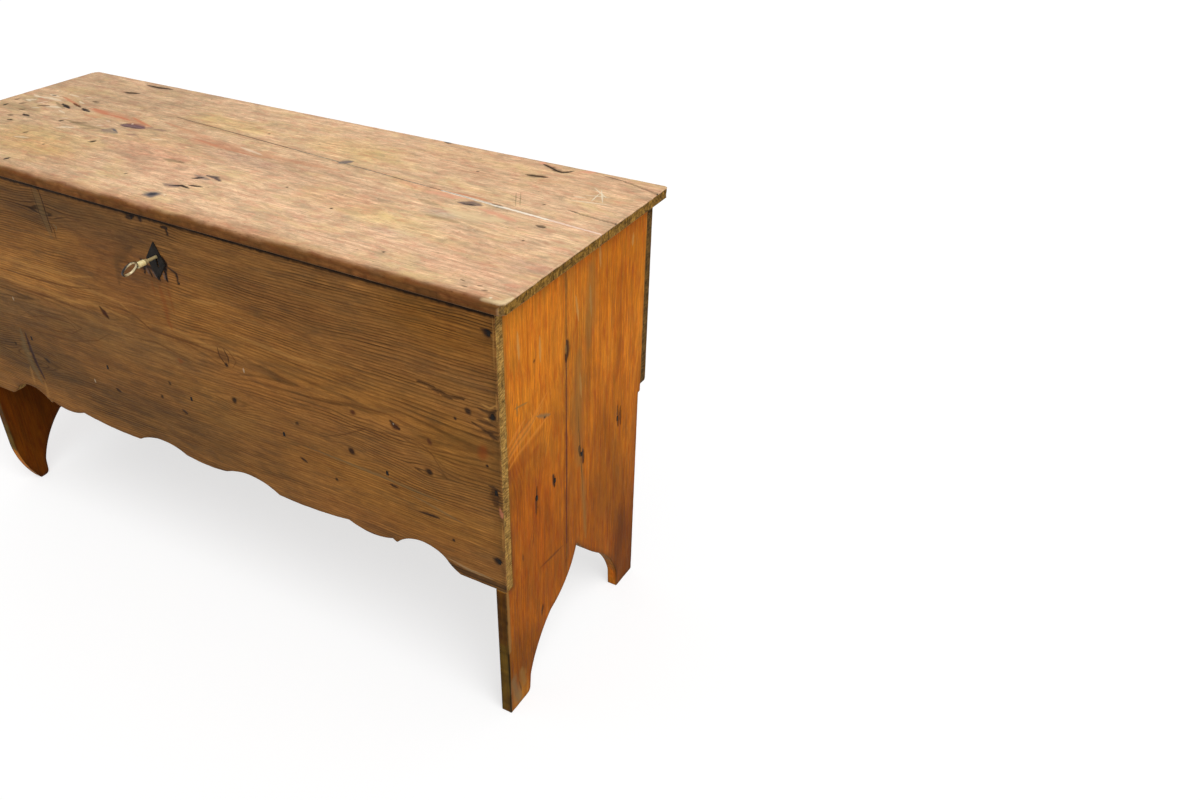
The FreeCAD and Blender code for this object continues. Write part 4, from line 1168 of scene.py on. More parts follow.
# Lid, at (x, y)
LID_MARKS = (
    # Purple knot with its reddish spike, and torn pale grain
    lines([[(-846, 213), (-824, 218), (-802, 218)]], 20, srgb(108, 82, 88), 0.85, 0.2, 0.5, 0.7)
    + lines([[(-851, 209), (-846, 221), (-824, 226)], [(-850, 208), (-825, 211), (-798, 214)]], 2.6, SMEAR, 0.7, 0.2)
    + lines([[(-802, 221), (-790, 226)], [(-786, 223), (-760, 226)], [(-806, 185), (-785, 190)]], 7, PURPLE, 0.45)
    + lines([[(-851, 186), (-843, 192), (-823, 184)]], 5, BLUE_GREY, 0.7)
    # Pale dot on the purple knot: a painted highlight
    + spots([(-836, 224)], 4, PALE, 0.9, 0.0)
    + lines([[(-964, 245), (-880, 239), (-800, 226)]], 22, RED_STREAK, 0.4, 0.0, 1.0, 0.9)
    + lines([[(-1104, 243), (-1070, 250), (-1036, 248)], [(-1038, 216), (-1020, 222), (-1003, 223)]], 8, PALE, 0.5)
    + lines([[(-1101, 225), (-1080, 232)], [(-1089, 265), (-1060, 262)], [(-927, 160), (-898, 165)]], 6, PALE, 0.5)
    + lines([[(-590, 66), (-560, 68)], [(-578, 112), (-545, 108)]], 10, BLUE_GREY, 0.45, 0.0, 0.9)
    + lines([[(-957, 248), (-929, 241), (-905, 236)]], 11, RED_STREAK, 0.65, 0.0, 1.0, 0.9)
    + lines([[(-1059, 267), (-1021, 255), (-982, 242)], [(-903, 237), (-879, 237), (-851, 233)]], 6, RED_STREAK, 0.7)
    + lines([[(-862, 247), (-826, 236), (-796, 228)], [(-1085, 238), (-1072, 241)]], 5, RED_STREAK, 0.7)
    + lines([[(-940, 218), (-906, 220)], [(-700, 215), (-640, 214)]], 14, RED_STREAK, 0.35, 0.0, 1.0)
    + lines(
        [
            [(-1065, 221), (-1056, 236)],
            [(-929, 153), (-914, 160)],
            [(-949, 92), (-922, 99)],
            [(-1060, 281), (-1029, 278)],
            [(-1016, 281), (-1008, 288)],
            [(-886, 214), (-876, 215)],
            [(-963, 187), (-949, 193)],
            [(-881, 191), (-869, 197)],
            [(-1052, 200), (-1036, 207)],
            [(-754, 188), (-733, 193)],
            [(-1112, 250), (-1090, 246)],
            [(-1100, 226), (-1082, 222)],
            [(-1010, 262), (-990, 256)],
            [(-1000, 214), (-975, 206)],
        ],
        4,
        PALE,
        0.5,
        0.0,
        0.9,
    )
    # Dark ticks at the left
    + lines(
        [
            [(-1023, 239), (-992, 228)],
            [(-974, 239), (-948, 232)],
            [(-1033, 171), (-1016, 169)],
            [(-871, 19), (-870, 27)],
            [(-1104, 185), (-1106, 195)],
        ],
        7,
        INK,
        1.0,
        0.4,
        0.5,
        0.6,
    )
    + lines(
        [
            [(-1009, 250), (-980, 241)],
            [(-989, 272), (-977, 275)],
            [(-1114, 214), (-1114, 224)],
            [(-1030, 140), (-1026, 145)],
            [(-1053, 156), (-1042, 159)],
            [(-949, 176), (-950, 183)],
            [(-951, 110), (-948, 117)],
            [(-822, 132), (-819, 141)],
            [(-1081, 264), (-1072, 264)],
            [(-1054, 213), (-1032, 221)],
            [(-1090, 205), (-1082, 212)],
            [(-1062, 184), (-1052, 190)],
            [(-1120, 160), (-1112, 168)],
        ],
        5,
        SMEAR,
        0.85,
        0.3,
        0.6,
        0.6,
    )
    + lines([[(-928, 179), (-903, 193)], [(-893, 170), (-867, 178)], [(-1040, 240), (-1000, 222)]], 7, GREEN_GREY, 0.5)
    + lines([[(-1032, 141), (-1021, 142)], [(-954, 177), (-948, 184)], [(-827, 132), (-821, 142)]], 4.5, DIRT, 0.85, 0.3)
    + spots([(-877, 91), (-667, 67), (-432, 141), (-329, 113), (-611, 295)], 4, DIRT, 0.8)
    + lines([[(-950, 186), (-900, 181), (-853, 183)]], 8, GREEN_GREY, 0.5, 0.0, 0.9)
    + lines([[(-856, 182), (-820, 181)]], 13, BLUE_GREY, 0.55, 0.0, 0.9)
    + lines([[(-1130, 180), (-1080, 196), (-1020, 190)]], 26, GREEN_GREY, 0.3, 0.0, 0.95)
    # Middle
    + lines([[(-668, 136), (-628, 139)]], 10, GREEN_GREY, 0.55, 0.0, 0.8)
    + lines([[(-571, 101), (-558, 111)], [(-578, 66), (-562, 74), (-545, 71)], [(-556, 80), (-533, 84)]], 5.5, INK, 0.95, 0.3)
    + lines([[(-562, 119), (-545, 119), (-528, 112)]], 8, srgb(66, 60, 66), 0.85, 0.2)
    + spots([(-572, 31)], 20, BLUE_GREY, 0.8, 0.1)
    + spots([(-573, 32)], 8, srgb(52, 50, 54), 0.8, 0.1)
    + spots([(-556, 38), (-6, 4)], 3.2, PALE, 0.9, 0.0)
    + lines([[(-797, 256), (-700, 235), (-638, 224), (-524, 221), (-409, 225)]], 15, RED_STREAK, 0.32, 0.0, 1.0)
    + lines([[(-700, 222), (-620, 212), (-540, 211)]], 7, RED_STREAK, 0.45, 0.0, 0.9)
    + lines([[(-606, 229), (-552, 219)]], 6, PALE, 0.5)
    + lines([[(-433, 248), (-419, 264)]], 13, BLUE_GREY, 0.7, 0.0, 0.8)
    # Knot at the right, pink and cream round it
    + lines([[(-197, 214), (-180, 217), (-166, 219)]], 15, srgb(98, 84, 84), 0.8, 0.3, 0.6, 0.7)
    + lines([[(-190, 213), (-172, 216)]], 5, INK, 0.7, 0.3)
    + lines([[(-260, 224), (-215, 226), (-196, 228)], [(-164, 210), (-130, 204), (-96, 196)]], 9, PINK, 0.6, 0.0, 0.9)
    + lines([[(-232, 238), (-190, 238), (-160, 236)]], 6, RED_STREAK, 0.6, 0.0, 0.9)
    + lines([[(-200, 186), (-150, 182), (-110, 190)]], 20, CREAM, 0.6, 0.0, 0.9)
    + lines([[(-209, 158), (-156, 158)], [(-250, 196), (-215, 192)]], 10, GREEN_GREY, 0.4, 0.0, 0.9)
    + lines([[(-157, 232), (-134, 225)], [(-69, 200), (-54, 198)]], 6.5, INK, 1.0, 1.0)
    + lines(HINGE_STAINS, 9.0, SMEAR, 0.8, 0.3)
    + lines([[(-116, 389), (-93, 397)], [(-184, 392), (-172, 394)]], 8, PINK, 0.8, 0.0, 0.8)
    + lines([[(-355, 398), (-341, 397)]], 6, INK, 0.8, 0.3)
    + spots([(-184, 41), (-58, 152), (-240, 320), (-96, 262)], 4, DIRT, 0.8)
    # Scratches
    + lines(
        [
            [(-150, 279), (-126, 240)],
            [(-144, 281), (-121, 243)],
            [(-152, 268), (-126, 262)],
            [(-150, 258), (-124, 252)],
        ],
        1.4,
        GREEN_GREY,
        0.5,
    )
    + lines(
        [
            [(-68, 346), (-36, 322)],
            [(-66, 317), (-32, 327)],
            [(-74, 292), (-20, 303)],
            [(-56, 344), (-32, 304)],
            [(-48, 300), (-52, 334)],
            [(-78, 306), (-60, 309)],
        ],
        2.0,
        PALE,
        0.85,
        0.2,
    )
    # Splits from the right end
    + lines([[(-38, 258), (-12, 255), (10, 253), (17, 252)], [(-44, 387), (-11, 377), (17, 367)]], 4.0, INK, 1.0, 1.8, 0.5, 0.1)
    + lines([[(-60, 262), (-38, 258)], [(-80, 392), (-44, 387)]], 2.6, DIRT, 0.8, 0.4)
    # Worn corner, and flecks near it
    + lines([[(-12, -4), (4, -4), (14, 1), (16, 14)]], 12, CREAM, 0.8, 0.0, 0.7, 0.4)
    + lines([[(-52, 14), (-44, 13)], [(-26, 15), (-18, 17)], [(-36, 22), (-30, 24)], [(-62, 26), (-54, 24)]], 2.8, SMEAR, 0.6, 0.2)
    + lines([[(-10, 40), (10, 46)], [(-16, 90), (12, 96)], [(-20, 150), (8, 154)]], 10, PINK, 0.35, 0.0, 0.9)
)
# The seam: a pale filler at the right, dirt in the middle, hardly seen at the left
LID_SEAM_MARKS = (
    lines([[(-240, 235.8), (-110, 224.9), (16, 214.3)]], 4.0, srgb(250, 236, 214), 1.0, 0.0, 0.5, 0.3)
    + lines([[(-540, 261.1), (-330, 243.4)], [(-310, 241.7), (-260, 237.5)]], 2.0, PALE, 0.6, 0.0, 0.5, 0.3)
    + lines([[(-800, 283.0), (-600, 266.1), (-330, 243.4), (-150, 228.2)]], 1.7, DIRT, 0.75, 0.3, 0.5, 0.4)
    + lines([[(16, 214.3), (-60, 220.7)]], 9, PINK, 0.35, 0.0, 0.9, 0.2)
)
LID_TINTS = (
    ((-1020, 130), (380, 360), 0, (0.76, 0.76, 0.74), 0.9),
    ((-560, 280), (420, 110), -4, (0.90, 0.90, 0.88), 0.8),
    ((-950, 350), (320, 70), 0, (0.90, 0.90, 0.92), 0.8),
    ((-150, 350), (300, 70), -3, (0.92, 0.88, 0.86), 0.8),
    ((-520, 195), (240, 40), -4, (0.80, 0.76, 0.78), 0.7),
    ((-640, 110), (130, 40), -4, (0.92, 0.84, 0.86), 0.7),
    ((-690, 300), (110, 26), -4, (1.08, 1.08, 0.86), 0.6),
    ((-450, 300), (120, 40), -4, (1.05, 1.05, 0.84), 0.6),
    ((-220, 115), (90, 22), -4, (1.05, 1.10, 0.92), 0.7),
    ((-900, 110), (130, 50), -4, (1.04, 1.06, 0.84), 0.7),
    ((-240, 60), (240, 40), -4, (1.04, 1.0, 1.04), 0.6),
    ((-60, 80), (90, 60), 0, (0.96, 0.88, 0.88), 0.6),
    ((-330, 140), (80, 30), -4, (0.96, 0.86, 0.82), 0.7),
    ((-560, -6), (900, 26), 0, (0.78, 0.66, 0.60), 0.9),
    ((-191, 170), (34, 13), 0, (0.78, 0.87, 1.02), 0.9),
    ((-150, 178), (44, 12), 0, (1.05, 1.10, 1.08), 0.8),
    ((-206, 93), (44, 14), 0, (0.86, 0.90, 0.98), 0.8),
    ((-263, 229), (60, 12), -4, (1.0, 0.86, 0.84), 0.8),
    ((-20, 92), (44, 18), 0, (0.86, 0.84, 0.92), 0.8),
    ((-715, 161), (120, 40), -4, (1.0, 0.86, 0.86), 0.7),
    ((-871, 73), (120, 40), -4, (1.02, 0.90, 0.82), 0.7),
    ((-553, 194), (70, 16), -4, (0.90, 0.91, 1.0), 0.7),
)
LID_FRONT_KNOTS = (
    knot(-826, 220, 13, 1.3, PURPLE, 0.0),
    knot(-181, 216, 10, 1.2, PURPLE, 0.0),
    knot(-1040, 230, 20, 0.8, PURPLE, 0.0),
)
LID_REAR_KNOTS = (knot(-505, 325, 14, 1.2, KNOT_RED, 0.0, 0.0, 0.7), knot(-150, 382, 9, 1.0, KNOT_RED, 0.0))
LID_RIGHT_X = 575.0
LID_LEFT_X = -575.0
LID_FRONT_Y = -175.5
LID_SEAM = (LID_LEFT_X, 140.5, LID_RIGHT_X, 44.5)
LID_FRONT_LINE = (LID_LEFT_X, LID_FRONT_Y, LID_RIGHT_X, LID_FRONT_Y)
LID_END_LINE = (LID_RIGHT_X, LID_FRONT_Y, LID_RIGHT_X, 229.0)
LID_CORNER = (LID_RIGHT_X - 12, LID_FRONT_Y, LID_RIGHT_X, LID_FRONT_Y)

# Right end, at (z, y)
END_MARKS = (
    # Nails' slits
    lines([[(354, 81), (332, 80), (308, 79)]], 6.0, INK, 1.0, 1.0, 0.4, 0.6)
    + lines([[(372, 78), (350, 80)], [(314, 79), (262, 56)]], 2.0, RED_DARK, 0.6)
    + lines([[(348, 122), (326, 125)], [(353, 191), (335, 194)], [(343, 201), (318, 203)]], 7.0, INK, 1.0, 0.8, 0.4, 0.5)
    + lines([[(358, 302), (320, 306)]], 6.0, INK, 1.0, 1.0, 0.4, 0.5)
    + lines([[(352, 311), (320, 313.5)]], 5.2, INK, 1.0, 1.0, 0.4, 0.5)
    # Fan of figured grain at the front
    + lines(
        [
            [(424, 4), (440, 30), (452, 66), (474, 100)],
            [(436, 8), (452, 36), (462, 70), (486, 112)],
            [(450, 10), (466, 40), (474, 60)],
            [(414, 2), (430, 36), (440, 80), (450, 118)],
        ],
        5,
        ORANGE,
        0.45,
        0.0,
        1.0,
    )
    + lines([[(430, 6), (446, 34), (457, 70), (470, 96)], [(444, 14), (460, 44), (468, 76)]], 1.8, OLIVE, 0.6)
    + lines([[(403, 0), (416, 26), (426, 60), (436, 96)], [(398, 6), (408, 40), (416, 90)]], 12, RED_DARK, 0.3, 0.0, 1.0)
    + lines([[(500, 34), (494, 64)], [(505, 40), (486, 40)]], 2.6, OLIVE, 0.8)
    + lines([[(462, 84), (452, 104), (447, 116)]], 6, GREEN_GREY, 0.6, 0.0, 0.9)
    # Knot on the seam
    + lines([[(534, 158), (520, 160), (506, 156.5)]], 11, KNOT_DARK, 0.95, 0.6, 0.5, 0.6)
    + lines([[(530, 155), (516, 156)]], 5, OLIVE, 0.7)
    # Pale and olive streaks
    + lines(
        [
            [(600, 46), (560, 48)],
            [(572, 94), (534, 95)],
            [(588, 180), (548, 188)],
            [(590, 216), (540, 221)],
            [(615, 333), (596, 332)],
            [(640, 240), (600, 244)],
            [(470, 192), (430, 196)],
        ],
        5,
        GOLD,
        0.6,
    )
    + lines([[(610, 219), (560, 220), (500, 216)], [(500, 190), (402, 186), (325, 190)]], 26, srgb(140, 100, 48), 0.5, 0.0, 1.0, 0.5)
    + lines([[(325, 196), (250, 205), (175, 212)]], 11, OLIVE, 0.4, 0.0, 1.0)
    + lines([[(420, 188), (380, 190), (330, 196), (260, 202)]], 2.4, KNOT_DARK, 0.5)
    + lines([[(480, 232), (300, 236)], [(620, 262), (380, 268)], [(610, 300), (400, 306)]], 4, RED_DARK, 0.3)
    + spots([(543, 81), (450, 103)], 4.5, KNOT_DARK, 0.8)
    + lines([[(268, 42), (254, 44)], [(212, 84), (208, 146)]], 4, KNOT_DARK, 0.5)
    + lines([[(140, 90), (120, 87)]], 5.5, KNOT_DARK, 0.8, 0.4)
    + lines([[(290, 72), (262, 66)]], 3, KNOT_DARK, 0.4)
    # Foot: worn pale front edge and grey tip
    + lines([[(232, 3), (200, 4), (120, 3)]], 6, OLIVE, 0.7, 0.0, 0.9, 0.2)
    + lines([[(60, 8), (30, 14), (12, 22)]], 16, GREEN_GREY, 0.5, 0.0, 0.9, 0.2)
    + lines([[(60, 30), (30, 36)]], 12, OLIVE, 0.5, 0.0, 0.9, 0.2)
    + lines([[(46, 22), (20, 28)]], 3, KNOT_DARK, 0.6, 0.4)
)
END_SEAM_MARKS = (
    lines([[(505, 156), (350, 156), (205, 156)]], 1.7, srgb(84, 30, 40), 0.9, 0.2, 0.5, 0.1)
    + lines([[(645, 156), (580, 156), (535, 156)]], 1.3, KNOT_DARK, 0.7, 0.2, 0.5, 0.1)
)
END_TINTS = (
    ((110, 150), (390, 420), 0, (0.48, 0.42, 0.40), 1.0),
    ((600, 300), (130, 110), 0, (0.76, 0.70, 0.46), 0.9),
    ((400, 50), (46, 60), 0, (0.72, 0.74, 0.86), 0.8),
    ((240, 290), (140, 80), 0, (0.78, 0.82, 0.76), 0.8),
    ((80, 30), (60, 60), 0, (0.64, 0.62, 0.4), 0.8),
    ((480, 190), (130, 44), 0, (0.76, 0.84, 1.1), 0.7),
    ((470, 60), (60, 60), 0, (1.06, 1.12, 1.1), 0.6),
    ((300, 80), (110, 70), 0, (1.05, 0.86, 0.7), 0.6),
    ((50, 345), (130, 70), 0, (0.36, 0.32, 0.22), 0.95),
    ((70, 20), (60, 60), 0, (0.84, 0.92, 0.94), 0.7),
    ((6, 20), (26, 60), 0, (1.2, 1.6, 2.4), 0.8),
)
END_FRONT_KNOTS = (knot(520, 164, 9, 1.2, KNOT_DARK, 0.0), knot(440, 60, 24, 1.1, KNOT_RED, 0.0, 0.0, 0.5))
END_REAR_KNOTS = (knot(520, 150, 9, 1.2, KNOT_DARK, 0.0), knot(360, 194, 10, 0.9, KNOT_RED, 0.0, 0.0, 3.0))

LEFT_END_TINTS = (
    ((110, 0), (390, 420), 0, (0.52, 0.46, 0.42), 1.0),
    ((600, -60), (130, 110), 0, (0.82, 0.78, 0.6), 0.9),
    ((480, 60), (130, 44), 0, (0.80, 0.86, 1.0), 0.7),
    ((70, 40), (110, 80), 0, (0.70, 0.88, 1.02), 0.9),
)
LEFT_END_MARKS = lines([[(470, 40), (380, 46), (300, 42)]], 20, srgb(140, 100, 48), 0.4, 0.0, 1.0) + lines(
    [[(560, -90), (520, -92)], [(420, 110), (370, 112)], [(250, -70), (220, -68)]], 4, GOLD, 0.5
)

# Inner faces of the end boards: below the chest's floor the feet's inner faces are darkened as painted shade; above it
# a milder, cooler tint
FLOOR_LEVEL = 352.0
INSIDE_PAINTED_SHADE = (0.18, 0.14, 0.07)
INSIDE_PALE = (0.60, 0.66, 0.85)
END_HIDDEN = (INSIDE_PAINTED_SHADE, INSIDE_PALE, FLOOR_LEVEL)
FRONT_Y = -170.0
END_TOP = 645.0
END_SEAM_Y = -14.0
END_SEAM = (0.0, END_SEAM_Y, END_TOP, END_SEAM_Y, 0.45)
END_FRONT_LINE = (0.0, FRONT_Y, END_TOP, FRONT_Y)
# Front edges of the end boards: a darker olive-brown, made darker still as painted shade on the feet's front faces
END_EDGE_TINT_AND_SHADE = (0.17, 0.21, 0.30)
END_TOE_LINE = (0.0, FRONT_Y, 130.0, FRONT_Y)
END_TOE_COLOUR = (0.23, 0.38, 0.55)
LID_EDGE_COLOUR = (0.27, 0.165, 0.08)


def board(axes, slot, paint, shape, **more):
    return {**PLAIN, "axes": axes, "slot": slot, "paint": paint, "figure": shape, **more}


front_paint = wood("pine_front_wood", FRONT_LOOK)
end_paint = wood("pine_end_wood", END_LOOK)
lid_paint = wood("pine_lid_wood", LID_LOOK)
back_paint = wood("pine_back_wood", BACK_LOOK)
inside_paint = wood("pine_inside_wood", INSIDE_LOOK)

FINE_CELL = (3.4, 1.9)
BOARDS = {
    "front_board": board(
        FRONT_AXES,
        "pine_front",
        front_paint,
        figure((444.0, 20.0), 0.02, 0.03, 9.0, 11),
        cell=FINE_CELL,
        usual_round=1.6,
        rough_edge=0.8,
        calm=FRONT_CALM,
        **moved(FRONT_SHIFT, FRONT_MARKS, FRONT_TINTS, FRONT_KNOTS),
    ),
    "right_end_front_board": board(
        RIGHT_AXES,
        "pine_end",
        end_paint,
        figure((-60.0, 30.0), 0.03, 0.03, 5.0, 21),
        cell=FINE_CELL,
        hidden=END_HIDDEN,
        rounds=(END_SEAM,),
        sides=((END_FRONT_LINE, END_EDGE_TINT_AND_SHADE, 0.8), (END_TOE_LINE, END_TOE_COLOUR, 2.0)),
        **moved(END_SHIFT, END_MARKS + END_SEAM_MARKS, END_TINTS, END_FRONT_KNOTS),
    ),
    "right_end_rear_board": board(
        RIGHT_AXES,
        "pine_end",
        end_paint,
        figure((150.0, 40.0), -0.03, 0.03, 5.0, 22),
        cell=FINE_CELL,
        hidden=END_HIDDEN,
        rounds=(END_SEAM,),
        **moved(END_SHIFT, END_MARKS + END_SEAM_MARKS, END_TINTS, END_REAR_KNOTS),
    ),
    "left_end_front_board": board(
        LEFT_AXES,
        "pine_end",
        end_paint,
        figure((-60.0, 30.0), 0.03, 0.03, 5.0, 23),
        hidden=END_HIDDEN,
        tints=LEFT_END_TINTS,
        marks=LEFT_END_MARKS,
        rounds=(END_SEAM,),
        sides=((END_FRONT_LINE, END_EDGE_TINT_AND_SHADE, 0.8), (END_TOE_LINE, END_TOE_COLOUR, 2.0)),
    ),
    "left_end_rear_board": board(
        LEFT_AXES,
        "pine_end",
        end_paint,
        figure((90.0, 40.0), 0.03, 0.03, 5.0, 24),
        hidden=END_HIDDEN,
        tints=LEFT_END_TINTS,
        marks=LEFT_END_MARKS,
    ),
    "back_upper_board": board(BACK_AXES, "pine_back", back_paint, figure((560.0, 40.0), 0.02, 0.02, 5.0, 31)),
    "back_lower_board": board(BACK_AXES, "pine_back", back_paint, figure((430.0, 50.0), 0.02, 0.02, 5.0, 32)),
    "lid_front_board": board(
        TOP_AXES,
        "pine_lid",
        lid_paint,
        figure((-40.0, 60.0), -0.06, 0.03, 6.0, 41),
        cell=FINE_CELL,
        body="lid",
        rounds=(LID_FRONT_LINE + (6.5,), LID_END_LINE + (1.8,), LID_CORNER + (8.0,), LID_SEAM + (0.5,)),
        sides=((LID_FRONT_LINE, LID_EDGE_COLOUR, 7.0),),
        hidden=((0.6, 0.55, 0.5), (0.6, 0.55, 0.5), 0.0),
        rough_edge=1.2,
        chips=0.35,
        **moved(LID_SHIFT, LID_MARKS + LID_SEAM_MARKS, LID_TINTS, LID_FRONT_KNOTS),
    ),
    "lid_rear_board": board(
        TOP_AXES,
        "pine_lid",
        lid_paint,
        figure((170.0, 50.0), -0.05, 0.03, 6.0, 42),
        cell=FINE_CELL,
        body="lid",
        rounds=(LID_END_LINE + (1.8,), LID_SEAM + (0.5,)),
        hidden=((0.6, 0.55, 0.5), (0.6, 0.55, 0.5), 0.0),
        rough_edge=1.2,
        chips=0.35,
        **moved(LID_SHIFT, LID_MARKS + LID_SEAM_MARKS, LID_TINTS, LID_REAR_KNOTS),
    ),
    "floor_front_board": board(TOP_AXES, "pine_inside", inside_paint, figure((-60.0, 50.0), 0.0, 0.02, 5.0, 51)),
    "floor_rear_board": board(TOP_AXES, "pine_inside", inside_paint, figure((120.0, 50.0), 0.0, 0.02, 5.0, 52)),
    "right_floor_cleat": board(UNDER_AXES, "pine_inside", inside_paint, figure((540.0, 30.0), 0.0, 0.02, 2.0, 61)),
    "left_floor_cleat": board(UNDER_AXES, "pine_inside", inside_paint, figure((-530.0, 30.0), 0.0, 0.02, 2.0, 62)),
    "right_lid_batten": board(
        UNDER_AXES, "pine_inside", inside_paint, figure((460.0, 30.0), 0.0, 0.02, 2.0, 63), body="lid"
    ),
    "left_lid_batten": board(
        UNDER_AXES, "pine_inside", inside_paint, figure((-450.0, 30.0), 0.0, 0.02, 2.0, 64), body="lid"
    ),
}
for board_name, board_spec in BOARDS.items():
    build_board(board_name, board_spec)


# Metals


def metal(name, base, dark, rough, metallic, rust=0.0, rust_colour=srgb(72, 44, 26), bump=0.4, gloss=0.5):
    """Old metal with uneven colour, wear and pitting."""
    paint = Paint(name)
    place = paint.node("ShaderNodeTexCoord").outputs["Object"]
    cloud = paint.noise(place, 160.0, 4.0, 0.65)
    pits = paint.noise(place, 900.0, 3.0, 0.6)
    colour = paint.mix(paint.span(cloud, 0.35, 0.65), base, dark)
    colour = paint.mix(paint.span(pits, 0.5, 0.7, 0.0, rust), colour, rust_colour)
    paint.shader.inputs["Metallic"].default_value = metallic
    paint.shader.inputs["Specular IOR Level"].default_value = gloss
    paint.bump(paint.math("ADD", cloud, paint.math("MULTIPLY", pits, 0.5)), bump, 0.0004)
    return paint.finish(colour, paint.span(pits, 0.3, 0.7, rough[0], rough[1]))


# The key's bow, in metres
BOW_Y = -0.2160
BOW_Z = 0.5860
BOW_MIDDLE = 0.0107
BOW_END = -0.2032
BOW_SOFT = 0.0006


def key_steel(name, bow_highlight, dull, black):
    """Steel rubbed to a dull colour on the shank, black round the outside of the bow, and lighter inside the bow as a
    painted highlight.
    """
    paint = Paint(name)
    place = paint.node("ShaderNodeTexCoord").outputs["Object"]
    cloud = paint.noise(place, 220.0, 4.0, 0.65)
    apart = paint.node("ShaderNodeSeparateXYZ")
    paint.put(apart.inputs[0], place)
    along = paint.math("SUBTRACT", apart.outputs[1], BOW_Y)
    up = paint.math("SUBTRACT", apart.outputs[2], BOW_Z)
    reach = paint.math("SQRT", paint.math("ADD", paint.math("POWER", along, 2.0), paint.math("POWER", up, 2.0)))
    outside = paint.span(reach, BOW_MIDDLE - BOW_SOFT, BOW_MIDDLE + BOW_SOFT)
    bow = paint.span(apart.outputs[1], BOW_END - BOW_SOFT, BOW_END + BOW_SOFT, 1.0, 0.0)
    colour = paint.mix(paint.span(cloud, 0.4, 0.7), bow_highlight, dull)
    colour = paint.mix(bow, dull, colour)
    colour = paint.mix(paint.math("MULTIPLY", outside, bow), colour, black)
    paint.shader.inputs["Metallic"].default_value = 0.3
    paint.bump(cloud, 0.4, 0.0003)
    return paint.finish(colour, paint.span(cloud, 0.3, 0.7, 0.35, 0.55))


METALS = {
    "iron": metal("black_iron", srgb(36, 32, 28), srgb(15, 13, 12), (0.55, 0.8), 0.1, 0.4, srgb(58, 42, 28), 0.8, 0.12),
    # The key's first colour is a painted highlight for the inside of its bow
    "steel": key_steel("worn_steel_and_highlight", srgb(236, 218, 176), srgb(176, 158, 112), srgb(40, 29, 20)),
    "brass": metal("worn_brass", srgb(255, 243, 190), srgb(240, 216, 146), (0.3, 0.42), 0.2, 0.1, srgb(160, 124, 62)),
}
HINGE_Y = 224.5
HINGE_Z = 637.0
HINGE_X = {"right": 402.0, "left": -411.0}
LOOP_RADIUS = 4.2
LOOP_WIRE = 2.6
LEG_SPACING = 2.4
CLINCH_Z = 658.8
SUNK_Z = 655.5
TUBE_SIDES = 10


def smooth_path(points, step=1.2):
    """Even points along a rounded line through some points."""
    line = np.array(points, float)
    for _ in range(3):
        a, b = line[:-1], line[1:]
        cut = np.stack([a * 0.75 + b * 0.25, a * 0.25 + b * 0.75], 1).reshape(-1, 3)
        line = np.concatenate([line[:1], cut, line[-1:]])
    lengths = np.linalg.norm(np.diff(line, axis=0), axis=1)
    along = np.concatenate([[0], np.cumsum(lengths)])
    s = np.linspace(0, along[-1], max(2, int(along[-1] / step)) + 1)
    return np.stack([np.interp(s, along, line[:, k]) for k in range(3)], 1)


def tube(path, radius, seed, closed=False):
    """Points and faces of a slightly uneven wire along a path."""
    rng = np.random.default_rng(seed)
    count = len(path)
    ahead = np.roll(path, -1, axis=0) if closed else np.concatenate([path[1:], path[-1:]])
    behind = np.roll(path, 1, axis=0) if closed else np.concatenate([path[:1], path[:-1]])
    points, faces = [], []
    side = Vector((0.31, 0.17, 0.94))
    for i in range(count):
        run = Vector(ahead[i] - behind[i]).normalized()
        side = (side - run * side.dot(run)).normalized()
        other = run.cross(side)
        size = radius * rng.uniform(0.9, 1.0)
        if not closed and i > count - 6:
            size *= 0.35 + 0.13 * (count - 1 - i)
        for k in range(TUBE_SIDES):
            turn = 2 * math.pi * k / TUBE_SIDES
            points.append(Vector(path[i]) + size * (math.cos(turn) * side + math.sin(turn) * other))
    for i in range(count if closed else count - 1):
        a, b = i * TUBE_SIDES, (i + 1) % count * TUBE_SIDES
        for k in range(TUBE_SIDES):
            j = (k + 1) % TUBE_SIDES
            faces.append([a + k, a + j, b + j, b + k])
    if not closed:
        faces.append(list(range(TUBE_SIDES))[::-1])
        faces.append([(count - 1) * TUBE_SIDES + k for k in range(TUBE_SIDES)])
    return points, faces


def join_tubes(name, tubes, material, body, node):
    """One piece of several wires, which stands for a CAD node."""
    points, faces = [], []
    for tube_points, tube_faces in tubes:
        faces += [[len(points) + v for v in f] for f in tube_faces]
        points += [p * MM for p in tube_points]
    mesh = bpy.data.meshes.new(name)
    mesh.from_pydata(points, [], faces)
    mesh.polygons.foreach_set("use_smooth", [True] * len(mesh.polygons))
    mesh.materials.append(material)
    piece = bpy.data.objects.new(name, mesh)
    bpy.context.scene.collection.objects.link(piece)
    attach(piece, body)
    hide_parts(node)


